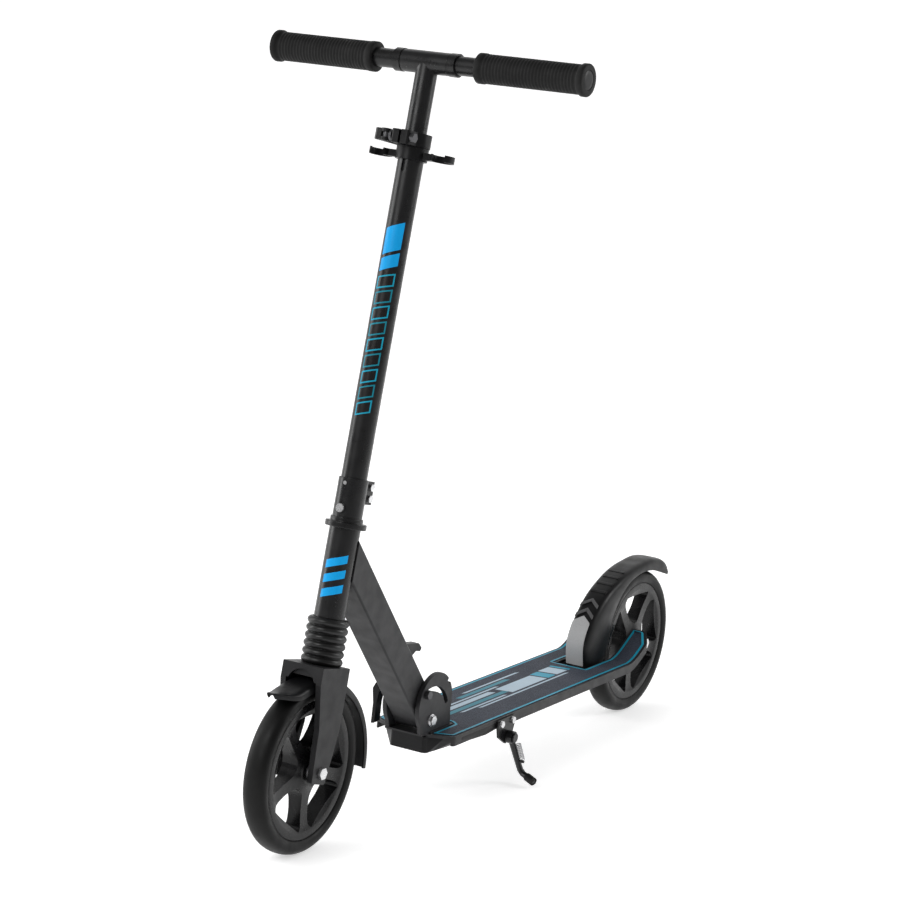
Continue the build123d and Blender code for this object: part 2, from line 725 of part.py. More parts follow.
def carry_hook():
    """The hook on the down tube's rear face."""
    root = 78.0
    points = [
        down_point(root + 34, REAR_FACE),
        down_point(root + 14, REAR_FACE + 16),
        down_point(root - 2, REAR_FACE + 30),
        down_point(root - 12, REAR_FACE + 31),
        down_point(root - 13, REAR_FACE + 26),
        down_point(root - 5, REAR_FACE + 20),
        down_point(root - 3, REAR_FACE + 12),
        down_point(root - 8, REAR_FACE),
    ]
    face = Polygon(*points, align=None)
    free = [v for v in face.vertices() if distance_from_face(v) > 5]
    return side_prism(fillet(free, 1.5), -6, 6)


def distance_from_face(vertex):
    """How far a side-view vertex stands off the down tube's rear face."""
    y = vertex.X - PIVOT[0]
    z = vertex.Y - PIVOT[1]
    return y * ACROSS[0] + z * ACROSS[1] - REAR_FACE


# ---------------------------------------------------------------- fold brackets and lock
def arc_slot():
    """The curved slot that the lock skewer runs in, about the fold pivot."""
    half = LOCK_RADIUS + RUN
    stop = LOCK_ANGLE - FOLD_ANGLE
    shape = Circle(LOCK_ARM + half) - Circle(LOCK_ARM - half)
    reach = DISC_RADIUS * 3
    middle = radians((LOCK_ANGLE + stop) / 2)
    a = radians(LOCK_ANGLE)
    b = radians(stop)
    wedge = Polygon(
        (0, 0),
        (reach * cos(b), reach * sin(b)),
        (reach * 2 * cos(middle), reach * 2 * sin(middle)),
        (reach * cos(a), reach * sin(a)),
        align=None,
    )
    shape = shape & wedge
    for angle in (a, b):
        shape += Pos(LOCK_ARM * cos(angle), LOCK_ARM * sin(angle)) * Circle(half)
    return Pos(*PIVOT) * shape


def fold_bracket():
    """The left cheek of the fold joint."""
    centre = (PIVOT_BACK + 9, PIVOT_Z + 18)
    base = DECK_TOP + BASE_THICK
    face = Pos(*centre) * Circle(DISC_RADIUS)
    foot = [
        (PIVOT_BACK - 20, base),
        (PIVOT_BACK + 48, base),
        (PIVOT_BACK + 46, PIVOT_Z + 6),
        (PIVOT_BACK - 24, PIVOT_Z + 2),
    ]
    face += Polygon(*foot, align=None)
    face -= Polygon((0, 0), (PIVOT_BACK * 3, 0), (PIVOT_BACK * 3, base), (0, base), align=None)
    face -= Pos(centre[0] + 33, centre[1] + 27) * Rot(0, 0, 40) * Rectangle(14, 7)
    face -= Pos(*PIVOT) * Circle(PIVOT_RADIUS)
    face -= arc_slot()
    return side_prism(face, BRACKET_GAP, BRACKET_OUT)


def fold_base_plate():
    """The plate under the two cheeks."""
    low = (-BRACKET_OUT - 2, behind(PIVOT_BACK - 1), DECK_TOP)
    high = (BRACKET_OUT + 2, behind(PIVOT_BACK + 52), DECK_TOP + BASE_THICK)
    shape = box(low, high)
    return shape + box(
        (-BRACKET_OUT, behind(PIVOT_BACK - 20), DECK_TOP),
        (BRACKET_OUT, behind(PIVOT_BACK), DECK_TOP + BASE_THICK),
    )


def base_screws():
    """Two cap screws that hold the base plate between the cheeks."""
    shapes = []
    for x in (-10, 10):
        y = behind(PIVOT_BACK + 42)
        shapes.append(disc_z(3.6, DECK_TOP + BASE_THICK, DECK_TOP + BASE_THICK + 2.6, x, y))
    return group(shapes)


def fold_pivot_bolt():
    """The bolt that the front frame folds about."""
    y = behind(PIVOT_BACK)
    shape = disc_x(PIVOT_RADIUS, -BRACKET_OUT, BRACKET_OUT, y, PIVOT_Z)
    shape += disc_x(7.5, BRACKET_OUT, BRACKET_OUT + 1.5, y, PIVOT_Z)
    shape += hex_x(11, BRACKET_OUT + 1.5, BRACKET_OUT + 5, y, PIVOT_Z)
    return shape + hex_x(12, -BRACKET_OUT - 5, -BRACKET_OUT, y, PIVOT_Z)


def lock_skewer():
    """The fold lock's skewer, with its nut, washer, eye and cross pin."""
    y = behind(LOCK[0])
    z = LOCK[1]
    out = BRACKET_OUT + RUN
    shape = disc_x(LOCK_RADIUS, -FOLD_CAM_X, out, y, z)
    shape += hex_x(10, out, out + 5, y, z)
    shape += disc_x(6, -FOLD_CAM_X + FOLD_CAM_RADIUS + RUN, -out, y, z)
    shape += disc_y(4.4, y - FOLD_CAM_SLOT / 2 + RUN, y + FOLD_CAM_SLOT / 2 - RUN, -FOLD_CAM_X, z)
    return shape + disc_y(2, y - 7, y + 7, -FOLD_CAM_X, z)


def fold_lever():
    """The fold lock's cam lever, hanging down beside the right cheek."""
    y = behind(LOCK[0])
    z = LOCK[1]
    x = -FOLD_CAM_X
    shape = disc_y(FOLD_CAM_RADIUS, y - 6.5, y + 6.5, x, z)
    blade = [
        (x - 6, z + 2),
        (x - 10, z - 6),
        (x - 8, z - 24),
        (x - 9, z - FOLD_LEVER_LENGTH),
        (x - 4.5, z - FOLD_LEVER_LENGTH + 1),
        (x - 3.5, z - 24),
        (x - 1, z - 9),
        (x + 3, z - 5.2),
    ]
    face = fillet(Polygon(*blade, align=None).vertices(), 1.0)
    plane = Plane(origin=(0, y + 6.5, 0), x_dir=(1, 0, 0), z_dir=(0, -1, 0))
    shape += prism(plane, face, 13)
    shape -= disc_y(FOLD_CAM_RADIUS + 0.6, y - FOLD_CAM_SLOT / 2, y + FOLD_CAM_SLOT / 2, x, z)
    return shape - disc_y(2 + FIT, y - 8, y + 8, x, z)


# ---------------------------------------------------------------- deck
def deck_plan(margin):
    """Top view of the deck, drawn behind the front axle, inset by a margin."""
    half = DECK_HALF - margin
    nose = RAIL_HALF - margin
    front = DECK_FRONT + margin
    tip = HORN_TIP - margin
    points = [
        (-nose, front),
        (nose, front),
        (half, front + 14),
        (half, tip - 20),
        (half - 12, tip),
        (-half + 12, tip),
        (-half, tip - 20),
        (-half, front + 14),
    ]
    face = outline(points, 5.0)
    slot = [
        (-SLOT_HALF - margin, SLOT_START - margin),
        (SLOT_HALF + margin, SLOT_START - margin),
        (SLOT_HALF + margin, WHEELBASE),
        (-SLOT_HALF - margin, WHEELBASE),
    ]
    return face - Polygon(*slot, align=None)


def plan_prism(face):
    """A top-view face as a tall prism."""
    return Pos(0, FRONT_Y, 0) * prism(Plane.XY, face, DECK_TOP * 4)


def deck_skin(top, bottom, half):
    """A side-view skin that is flat and then sweeps up into the rear horns."""
    outer = sweep_up(top)
    inner = list(reversed(sweep_up(bottom)))
    edges = [Line((0, top), outer[0]), Spline(*outer), Line(outer[-1], inner[0]), Spline(*inner)]
    edges += [Line(inner[-1], (0, bottom)), Line((0, bottom), (0, top))]
    return side_prism(make_face(edges), -half, half)


def sweep_up(level):
    """The rear rise of the deck at one level, from the flat to beyond the horn tips."""
    length = HORN_TIP - HORN_START
    steps = [(0.0, 0.0), (0.2, 0.035), (0.45, 0.26), (0.7, 0.6), (1.0, 1.0), (1.15, 1.2)]
    return [(HORN_START + length * a, level + HORN_RISE * b) for a, b in steps]


def deck_plate():
    """The deck, with folded-down side skirts and two rear horns."""
    slab = deck_skin(DECK_TOP, SKIRT_BOTTOM, DECK_HALF + 1)
    slab = slab & plan_prism(deck_plan(0.0))
    core = deck_skin(DECK_UNDER, SKIRT_BOTTOM - 20, DECK_HALF - SKIRT_WALL)
    return slab - core


def grip_tape():
    """The grip tape on the deck, cut out around the fold joint."""
    skin = deck_skin(DECK_TOP + TAPE_THICK, DECK_TOP, DECK_HALF + 1)
    face = deck_plan(TAPE_MARGIN)
    out = BRACKET_OUT + 3.5
    face -= Polygon(
        (-out, 0),
        (out, 0),
        (out, PIVOT_BACK + 54),
        (out - 8, PIVOT_BACK + 61),
        (-out + 8, PIVOT_BACK + 61),
        (-out, PIVOT_BACK + 54),
        align=None,
    )
    return skin & plan_prism(face)


def frame_rail():
    """The channel under the deck, whose side walls run back as the rear dropouts."""
    top = DECK_UNDER
    dropout = 13.0
    wall = [
        (DECK_FRONT + 10, RAIL_BOTTOM),
        (SLOT_START, RAIL_BOTTOM),
        (SLOT_START + 70, RAIL_BOTTOM + 8),
        (WHEELBASE + 2, WHEEL_RADIUS - dropout),
        (WHEELBASE + dropout, WHEEL_RADIUS - 3),
        (WHEELBASE + dropout - 3, WHEEL_RADIUS + 8),
        (WHEELBASE - 4, WHEEL_RADIUS + dropout),
        (HORN_START + 20, top - 4),
        (HORN_START, top),
        (DECK_FRONT + 10, top),
    ]
    side = side_prism(Polygon(*wall, align=None), LEG_GAP, RAIL_HALF)
    side -= disc_x(AXLE_RADIUS, 0, RAIL_HALF + 1, REAR_Y, WHEEL_RADIUS)
    side -= disc_x(FENDER_PIN, 0, RAIL_HALF + 1, behind(FENDER_PIVOT[0]), FENDER_PIVOT[1])
    front = (-RAIL_HALF, behind(DECK_FRONT + 10), RAIL_BOTTOM)
    rear = (RAIL_HALF, behind(SLOT_START), RAIL_BOTTOM + RAIL_FLOOR)
    floor = box(front, rear)
    cross = box((-RAIL_HALF, behind(SLOT_START - 6), RAIL_BOTTOM), (RAIL_HALF, behind(SLOT_START), top))
    return side + mirror(side, about=Plane.YZ) + floor + cross


def front_nose():
    """The rounded cap that closes the channel's front."""
    half = RAIL_HALF
    points = [
        (-half, DECK_FRONT + 10),
        (-half, DECK_FRONT - 3),
        (half, DECK_FRONT - 3),
        (half, DECK_FRONT + 10),
    ]
    face = Polygon(*points, align=None)
    face = fillet([v for v in face.vertices() if v.Y < DECK_FRONT], 6.0)
    shape = Pos(0, FRONT_Y, RAIL_BOTTOM) * prism(Plane.XY, face, DECK_UNDER - RAIL_BOTTOM)
    lip = box((-half + 5, behind(DECK_FRONT - 3), DECK_UNDER - 1), (half - 5, behind(DECK_FRONT), DECK_TOP))
    return shape + lip


# ---------------------------------------------------------------- rear fender brake
def fender_skin(offset):
    """The fender's outer curve about the rear axle, moved outward by an offset."""
    skin = [
        (188.5, 46),
        (180.4, 51.5),
        (169.7, 56),
        (150.2, 40.7),
        (124.8, 20.7),
        (96.1, 12.6),
        (73.4, 19),
        (56.0, 24),
        (49.0, 18.5),
    ]
    return [(a, c + offset) for a, c in skin]


def rear_fender():
    """The foot brake: a stiff mudguard with deep sides, about the rear axle."""
    skin = fender_skin(0.0)
    edge = [(54, 8), (66, 3), (90, 0), (124, 1), (152, -1), (176, -2), (188, 10)]
    outer = polar(skin, WHEEL_RADIUS)
    inner = polar(edge, WHEEL_RADIUS)
    cavity = polar([(a, c - FENDER_TOP) for a, c in skin[:-2]] + [(60.0, 19.5)], WHEEL_RADIUS)
    inside = [(58, -20), (66, -22), (90, -24), (124, -24), (152, -28), (176, -28), (192, -26)]
    deep = polar(inside, WHEEL_RADIUS)
    shell = side_prism(band(outer, inner), -FENDER_HALF, FENDER_HALF, (0.0, 0.0))
    inner_half = FENDER_HALF - FENDER_SIDE
    hollow = side_prism(band(cavity, deep), -inner_half, inner_half, (0.0, 0.0))
    shell = shell - hollow
    lug = side_prism(fender_lug(), FENDER_HALF - FENDER_SIDE, FENDER_HALF, (0.0, 0.0))
    shell = shell + lug + mirror(lug, about=Plane.YZ)
    pin = disc_x(FENDER_PIN + FIT, -30, 30, *fender_pivot_from_axle())
    return Pos(0, REAR_Y, WHEEL_RADIUS) * (shell - pin)


def fender_pivot_from_axle():
    """The fender's pivot, measured from the rear axle."""
    return FENDER_PIVOT[0] - WHEELBASE, FENDER_PIVOT[1] - WHEEL_RADIUS


def fender_lug():
    """Side view of a pivot lug, measured from the rear axle."""
    y, z = fender_pivot_from_axle()
    lug = Pos(y, z) * Circle(FENDER_PIN + 4)
    return lug + Polygon((y - 8, z), (y + 8, z), (y + 12, z + 26), (y - 12, z + 26), align=None)


def fender_insert():
    """The pale panel on the front of the fender."""
    outer = polar(fender_skin(0.8), WHEEL_RADIUS)
    inner = polar(list(reversed(fender_skin(-FENDER_TOP * 0.5))), WHEEL_RADIUS)
    reach = WHEEL_RADIUS * 3
    wedge = [(reach * cos(radians(a)), reach * sin(radians(a))) for a in (159, 183)]
    face = band(outer, inner) & Polygon((0, 0), *wedge, align=None)
    shape = side_prism(face, -13, 13, (0.0, 0.0))
    return Pos(0, REAR_Y, WHEEL_RADIUS) * shape - rear_fender()


def brake_pad():
    """The wear pad under the fender, over the tyre."""
    outer = polar([(118, 14.2), (110, 11.6), (100, 9.8), (90, 10.2)], WHEEL_RADIUS)
    inner = polar([(90, 8.7), (100, 8.4), (110, 9.0), (118, 10.6)], WHEEL_RADIUS)
    shape = side_prism(band(outer, inner), -11, 11, (0.0, 0.0))
    return Pos(0, REAR_Y, WHEEL_RADIUS) * shape - rear_fender()


def fender_pivot_bolt():
    """The pin that the fender turns on."""
    y = behind(FENDER_PIVOT[0])
    z = FENDER_PIVOT[1]
    shape = disc_x(FENDER_PIN, -RAIL_HALF - 1, RAIL_HALF + 1, y, z)
    shape += disc_x(6, RAIL_HALF, RAIL_HALF + 3, y, z)
    return shape + hex_x(10, -RAIL_HALF - 4, -RAIL_HALF, y, z)


def fender_spring():
    """The return spring around the fender's pin."""
    shape = coil(FENDER_PIN + 1.3, 1.2, 18, 6)
    place = Location((-9, behind(FENDER_PIVOT[0]), FENDER_PIVOT[1]), (0, 90, 0))
    return place * shape


# ---------------------------------------------------------------- side stand
def stand_bracket():
    """The plate and pivot pin bolted to the deck's left skirt."""
    y, z = STAND_PIVOT
    points = [
        (y - 27, DECK_TOP - 1.5),
        (y + 17, DECK_TOP - 1.5),
        (y + 17, DECK_TOP - 12),
        (y + 9, z - 6),
        (y - 4, z - 9),
        (y - 22, z + 2),
    ]
    shape = side_prism(outline(points, 2.5), DECK_HALF, DECK_HALF + 3.5)
    shape += disc_x(3.5, DECK_HALF + 3, STAND_X + 6, behind(y), z)
    return shape + disc_x(6, STAND_X + 5 + RUN, STAND_X + 7.5, behind(y), z)


def stand_bolts():
    """Two bolts through the deck's skirt."""
    shapes = []
    for offset in (-19, 9):
        y = behind(STAND_BACK + offset)
        bolt = disc_x(4.2, DECK_HALF + 3.5, DECK_HALF + 6.5, y, DECK_TOP - 6.5)
        shapes.append(bolt)
    return group(shapes)


def stand_leg():
    """The stand's leg, with a hub around the pivot pin and a foot bent outward."""
    y, z = STAND_PIVOT
    points = [
        (STAND_X, behind(y + 1), z - 2),
        (STAND_X, behind(y + 33), z - 50),
        (STAND_X + 4, behind(y + 34), z - 55),
        (STAND_X + 21, behind(y + 27), z - 58.5),
    ]
    shape = disc_x(8, STAND_X - 4, STAND_X + 5, behind(y), z) + rod(points, STAND_ROD)
    shape += disc_x(2, STAND_X, STAND_X + 9, behind(y + 24), z - 36)
    return shape - disc_x(3.5 + FIT, STAND_X - 8, STAND_X + 8, behind(y), z)


def stand_foot():
    """The rubber shoe on the foot."""
    y, z = STAND_PIVOT
    start = Vector(STAND_X + 12, behind(y + 30.7), z - 56.65)
    end = Vector(STAND_X + 24, behind(y + 25.75), z - 59.1)
    plane = Plane(origin=start, z_dir=end - start)
    shape = prism(plane, Circle(STAND_ROD + 1.3), (end - start).length)
    return shape - stand_leg()


def stand_spring():
    """The stand's spring, beside the leg."""
    y, z = STAND_PIVOT
    x = STAND_X + STAND_ROD + STAND_SPRING_RADIUS + STAND_SPRING_WIRE + 2 * FIT
    low = Vector(x, behind(y + 21.7), z - 32)
    high = Vector(x, behind(y + 8), z - 9)
    plane = Plane(origin=low, x_dir=(1, 0, 0), z_dir=high - low)
    shape = coil(STAND_SPRING_RADIUS, STAND_SPRING_WIRE, (high - low).length, STAND_SPRING_TURNS)
    return plane.location * shape


# ---------------------------------------------------------------- nodes
def save_fork():
    """Write the fork, its wheel, its fender and the suspension."""
    save("fork", STEER * fork())
    save("suspension_rod", STEER * suspension_rod())
    save("suspension_spring", STEER * suspension_spring())
    save("suspension_bellows", STEER * bellows())
    save("front_fender", front_fender())
    save_wheel("front", Pos(0, FRONT_Y, WHEEL_RADIUS))


def save_column():
    """Write the parts that turn with the column."""
    save("steerer_tube", STEER * steerer_tube())
    save("headset_flange", STEER * headset_flange())
    save("lower_collar", STEER * lower_collar())
    save("collar_bolts", group([STEER * collar_bolts()]))
    save("column_tube", STEER * column_tube())
    save("clamp_collar", STEER * clamp_collar())
    save("clamp_skewer", STEER * clamp_skewer())
    save("clamp_lever", STEER * clamp_lever())
    save("clip_ring", STEER * clip_ring())


def save_bar():
    """Write the T-bar and the two handles."""
    save("stem_tube", STEER * stem_tube())
    save("bar_sleeve", STEER * bar_sleeve())
    save("sleeve_rings", group([STEER * s for s in mirror_pair(sleeve_ring())]))
    for name, shape in (("handle_tube", handle_tube()), ("grip", grip()), ("end_plug", end_plug())):
        left, right = mirror_pair(shape)
        save(f"left_{name}", STEER * left)
        save(f"right_{name}", STEER * right)


def save_front_frame():
    """Write the folding front frame and its lock."""
    save("head_tube", STEER * head_tube())
    save("headset_bearings", group([STEER * headset_bearings()]))
    save("down_tube", down_tube())
    save("fold_knuckle", fold_knuckle())
    save("carry_hook", carry_hook())
    save("lock_skewer", lock_skewer())
    save("fold_lever", fold_lever())


def save_deck():
    """Write the deck, the rail and the fold brackets."""
    save("deck_plate", deck_plate())
    save("grip_tape", grip_tape())
    save("frame_rail", frame_rail())
    save("front_nose", front_nose())
    left, right = mirror_pair(fold_bracket())
    save("fold_bracket_left", left)
    save("fold_bracket_right", right)
    save("fold_base_plate", fold_base_plate())
    save("base_screws", base_screws())
    save("fold_pivot_bolt", fold_pivot_bolt())


def save_rear():
    """Write the rear wheel, the brake and the side stand."""
    save_wheel("rear", Pos(0, REAR_Y, WHEEL_RADIUS))
    save("rear_fender", rear_fender())
    save("fender_insert", fender_insert())
    save("brake_pad", brake_pad())
    save("fender_pivot_bolt", fender_pivot_bolt())
    save("fender_spring", fender_spring())
    save("stand_bracket", stand_bracket())
    save("stand_bolts", stand_bolts())
    save("stand_leg", stand_leg())
    save("stand_foot", stand_foot())
    save("stand_spring", stand_spring())


save_deck()
save_front_frame()
save_column()
save_bar()
save_fork()
save_rear()
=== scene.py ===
"""Looks of a folding kick scooter: procedural materials and detailed pieces on the CAD frame.

Frame: metres, +Z up, -Y forward, +X to the rider's left. The floor is z = 0.
Sizes are in millimetres, and MM turns them into metres.
"""
import json
import math
from contextlib import contextmanager

import bmesh
import bpy
from mathutils import Matrix, Vector

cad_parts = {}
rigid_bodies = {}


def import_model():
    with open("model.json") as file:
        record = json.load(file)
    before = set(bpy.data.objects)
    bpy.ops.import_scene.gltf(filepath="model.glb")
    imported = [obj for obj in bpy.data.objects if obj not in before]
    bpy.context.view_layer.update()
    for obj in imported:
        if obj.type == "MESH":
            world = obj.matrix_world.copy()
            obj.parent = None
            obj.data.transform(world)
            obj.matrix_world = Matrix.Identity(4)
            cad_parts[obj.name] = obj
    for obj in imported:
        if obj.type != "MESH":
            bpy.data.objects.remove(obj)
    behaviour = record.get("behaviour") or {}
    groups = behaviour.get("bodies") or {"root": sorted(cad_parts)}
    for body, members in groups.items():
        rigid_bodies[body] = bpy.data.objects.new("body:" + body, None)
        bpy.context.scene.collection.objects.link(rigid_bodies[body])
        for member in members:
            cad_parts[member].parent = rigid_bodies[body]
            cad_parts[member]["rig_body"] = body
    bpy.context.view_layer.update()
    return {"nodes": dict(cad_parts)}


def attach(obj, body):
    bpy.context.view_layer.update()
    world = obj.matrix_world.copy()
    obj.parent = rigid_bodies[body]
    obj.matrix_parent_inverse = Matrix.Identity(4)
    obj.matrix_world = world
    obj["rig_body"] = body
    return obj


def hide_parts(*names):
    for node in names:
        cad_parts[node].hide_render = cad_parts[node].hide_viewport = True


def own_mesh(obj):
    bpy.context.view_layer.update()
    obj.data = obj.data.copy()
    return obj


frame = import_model()
NODES = frame["nodes"]
MM = 0.001

# ---------------------------------------------------------------- sizes shared by several pieces
WHEEL_RADIUS = 100.0
WHEELBASE = 815.0
TILT = math.radians(11.0)
FORK_OFFSET = 3.6
COLUMN_RADIUS = 15.0
HEAD_RADIUS = 18.0
CROWN_TOP = 120.9
HEAD_BOTTOM = 174.9
BAR_LEVEL = 816.2
TAPE_TOP = 94.8
FRONT_Y = -WHEELBASE / 2
REAR_Y = WHEELBASE / 2

# Distances below which points are welded, in metres.
WELD = 1e-6
CAD_WELD = 2e-6
TAPE_WELD = 5e-6

# Angles in degrees.
FLAT_ANGLE = 1.0
CAD_BEVEL_ANGLE = 40
CAD_SHARP_ANGLE = 30

# The steering frame stands at the fork's offset, with +Z up the column.
STEER_FOOT = Vector((
    0, FRONT_Y + FORK_OFFSET * math.cos(TILT), WHEEL_RADIUS - FORK_OFFSET * math.sin(TILT),
))
STEER = Matrix.Translation(STEER_FOOT) @ Matrix.Rotation(-TILT, 4, "X")


# ---------------------------------------------------------------- mesh helpers
def add_to_scene(name, data):
    """A new object in the scene with the given mesh, light or camera."""
    obj = bpy.data.objects.new(name, data)
    bpy.context.scene.collection.objects.link(obj)
    return obj


def new_object(name, verts, faces, smooth=True):
    """An object from points in millimetres, in the row frame."""
    mesh = bpy.data.meshes.new(name)
    mesh.from_pydata([Vector(v) * MM for v in verts], [], faces)
    mesh.validate()
    mesh.update()
    for poly in mesh.polygons:
        poly.use_smooth = smooth
    return add_to_scene(name, mesh)


@contextmanager
def editing(obj):
    """The object's mesh as a bmesh, which is written back at the end."""
    bm = bmesh.new()
    bm.from_mesh(obj.data)
    yield bm
    bm.to_mesh(obj.data)
    bm.free()


def place(obj, matrix):
    """Move an object's mesh by a matrix given in millimetres."""
    shift = matrix.copy()
    shift.translation = matrix.translation * MM
    obj.data.transform(shift)
    obj.data.update()
    return obj


def recalc(obj):
    """Weld the mesh and make its face normals consistent."""
    with editing(obj) as bm:
        bmesh.ops.remove_doubles(bm, verts=bm.verts, dist=WELD)
        bmesh.ops.recalc_face_normals(bm, faces=bm.faces)
    return obj


def lathe(name, profile, axis, steps, closed=True):
    """Turn a profile of (radius, height) points around an axis."""
    verts = []
    for i in range(steps):
        turn = 2 * math.pi * i / steps
        c, s = math.cos(turn), math.sin(turn)
        for r, h in profile:
            verts.append((h, r * c, r * s) if axis == "X" else (r * c, r * s, h))
    count = len(profile)
    faces = []
    for i in range(steps):
        j = (i + 1) % steps
        for k in range(count if closed else count - 1):
            m = (k + 1) % count
            faces.append((i * count + k, j * count + k, j * count + m, i * count + m))
    return recalc(new_object(name, verts, faces))


def grid(name, rows):
    """A surface through rows of points."""
    count = len(rows[0])
    verts = [point for row in rows for point in row]
    faces = []
    for i in range(len(rows) - 1):
        for k in range(count - 1):
            here = i * count + k
            faces.append((here, here + 1, here + count + 1, here + count))
    return new_object(name, verts, faces)


def modifier(obj, kind, **values):
    """Add a modifier and set its values."""
    mod = obj.modifiers.new(kind.lower(), kind)
    for key, value in values.items():
        setattr(mod, key, value)


def bevel(obj, width, segments, angle):
    """Round the edges that are sharper than an angle in degrees."""
    modifier(
        obj, "BEVEL", width=width * MM, segments=segments,
        limit_method="ANGLE", angle_limit=math.radians(angle),
    )


def apply_all(obj):
    """Replace an object's mesh with its modified mesh."""
    graph = bpy.context.evaluated_depsgraph_get()
    mesh = bpy.data.meshes.new_from_object(obj.evaluated_get(graph))
    obj.modifiers.clear()
    obj.data = mesh


def soften(obj, angle):
    """Smooth shading, with edges sharper than an angle in degrees kept sharp."""
    for poly in obj.data.polygons:
        poly.use_smooth = True
    with editing(obj) as bm:
        for edge in bm.edges:
            paired = len(edge.link_faces) == 2
            edge.smooth = not (paired and edge.calc_face_angle() > math.radians(angle))


def even_shading(obj):
    """Let the large faces lead the shading of the rounded edges."""
    modifier(obj, "WEIGHTED_NORMAL", keep_sharp=True, weight=100)


def finish_piece(obj, body, *nodes):
    """Make a piece ride on its body, and stand for CAD nodes if any are named."""
    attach(obj, body)
    if nodes:
        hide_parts(*nodes)


def paint(obj, skin):
    """Give an object one material."""
    obj.data.materials.clear()
    obj.data.materials.append(skin)


def rounded_copy(node, width, segments):
    """A copy of a CAD node with its edges rounded, standing for the node."""
    source = NODES[node]
    obj = add_to_scene(f"{node}_soft", source.data.copy())
    obj.data.materials.clear()
    with editing(obj) as bm:
        bmesh.ops.remove_doubles(bm, verts=bm.verts, dist=CAD_WELD)
        bmesh.ops.dissolve_limit(
            bm, angle_limit=math.radians(FLAT_ANGLE), verts=bm.verts, edges=bm.edges,
        )
    bevel(obj, width, segments, CAD_BEVEL_ANGLE)
    apply_all(obj)
    soften(obj, CAD_SHARP_ANGLE)
    even_shading(obj)
    finish_piece(obj, source["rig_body"], node)
    return obj


# ---------------------------------------------------------------- material helpers
BLOTCH_SCALE = 14.0
GLOSS_SCALE = 60.0
BRUSH_SCALE = (900.0, 40.0, 900.0)
GRAIN_DEPTH = 0.12
BRUSH_DEPTH = 0.1
GRIT_DEPTH = 0.3


def material(name):
    """A new node material, its tree, and its Principled shader."""
    mat = bpy.data.materials.new(name)
    mat.use_nodes = True
    return mat, mat.node_tree, mat.node_tree.nodes["Principled BSDF"]


def object_coordinates(tree):
    """The object coordinates, which are metres in the row frame."""
    return tree.nodes.new("ShaderNodeTexCoord").outputs["Object"]


def noise(tree, vector, scale, detail):
    """The factor of a noise over the given coordinates."""
    made = tree.nodes.new("ShaderNodeTexNoise")
    made.inputs["Scale"].default_value = scale
    made.inputs["Detail"].default_value = detail
    tree.links.new(vector, made.inputs["Vector"])
    return made.outputs["Fac"]


def object_noise(tree, scale, detail):
    """The factor of a noise over the object coordinates."""
    return noise(tree, object_coordinates(tree), scale, detail)


def ramp(tree, factor, low, high):
    """The colour between two (position, colour) stops."""
    made = tree.nodes.new("ShaderNodeValToRGB")
    tree.links.new(factor, made.inputs["Fac"])
    for element, (position, colour) in zip(made.color_ramp.elements, (low, high)):
        element.position = position
        element.color = (*colour, 1.0)
    return made.outputs["Color"]


def grey(value):
    """A neutral colour."""
    return (value, value, value)


def scaled(colour, factor):
    """A colour made darker or lighter."""
    return tuple(c * factor for c in colour)


def multiplied(tree, a, b):
    """The product of two colour outputs."""
    made = tree.nodes.new("ShaderNodeMix")
    made.data_type = "RGBA"
    made.blend_type = "MULTIPLY"
    factor, first, second = made.inputs[0], made.inputs[6], made.inputs[7]
    factor.default_value = 1.0
    tree.links.new(a, first)
    tree.links.new(b, second)
    return made.outputs[2]


def add_bump(tree, shader, height, strength, distance):
    """Feed a height, with its distance in millimetres, to the shader's normal."""
    made = tree.nodes.new("ShaderNodeBump")
    made.inputs["Strength"].default_value = strength
    made.inputs["Distance"].default_value = distance * MM
    tree.links.new(height, made.inputs["Height"])
    tree.links.new(made.outputs["Normal"], shader.inputs["Normal"])


def coated(name, base, rough, grain, bump, shine=0.2, vary=0.25, rough_vary=0.08):
    """Paint, plastic or rubber: fine surface grain, soft blotches and small changes in gloss."""
    mat, tree, shader = material(name)
    fine = object_noise(tree, grain, 2.0)
    blotch = object_noise(tree, BLOTCH_SCALE, 3.0)
    broad = ramp(tree, blotch, (0.3, scaled(base, 1 - vary)), (0.7, scaled(base, 1 + vary)))
    speck = ramp(tree, fine, (0.35, grey(0.82)), (0.65, grey(1.0)))
    tree.links.new(multiplied(tree, broad, speck), shader.inputs["Base Color"])
    worn = object_noise(tree, GLOSS_SCALE, 4.0)
    gloss = ramp(tree, worn, (0.3, grey(rough - rough_vary)), (0.7, grey(rough + rough_vary)))
    tree.links.new(gloss, shader.inputs["Roughness"])
    shader.inputs["Specular IOR Level"].default_value = shine
    add_bump(tree, shader, fine, bump, GRAIN_DEPTH)
    return mat


def steel(name, base, rough):
    """Plated steel with faint brushing and handling marks."""
    mat, tree, shader = material(name)
    stretch = tree.nodes.new("ShaderNodeMapping")
    stretch.inputs["Scale"].default_value = BRUSH_SCALE
    tree.links.new(object_coordinates(tree), stretch.inputs["Vector"])
    brushed = noise(tree, stretch.outputs["Vector"], 1.0, 3.0)
    tone = ramp(tree, brushed, (0.3, scaled(base, 0.8)), (0.7, base))
    tree.links.new(tone, shader.inputs["Base Color"])
    gloss = ramp(tree, brushed, (0.3, grey(rough + 0.08)), (0.7, grey(rough - 0.06)))
    tree.links.new(gloss, shader.inputs["Roughness"])
    shader.inputs["Metallic"].default_value = 1.0
    add_bump(tree, shader, brushed, 0.06, BRUSH_DEPTH)
    return mat


def printed(name, colour):
    """Printed ink or vinyl: a faint mottle and a fine grain."""
    return coated(name, colour, 0.42, grain=2600.0, bump=0.05, vary=0.07, rough_vary=0.05)


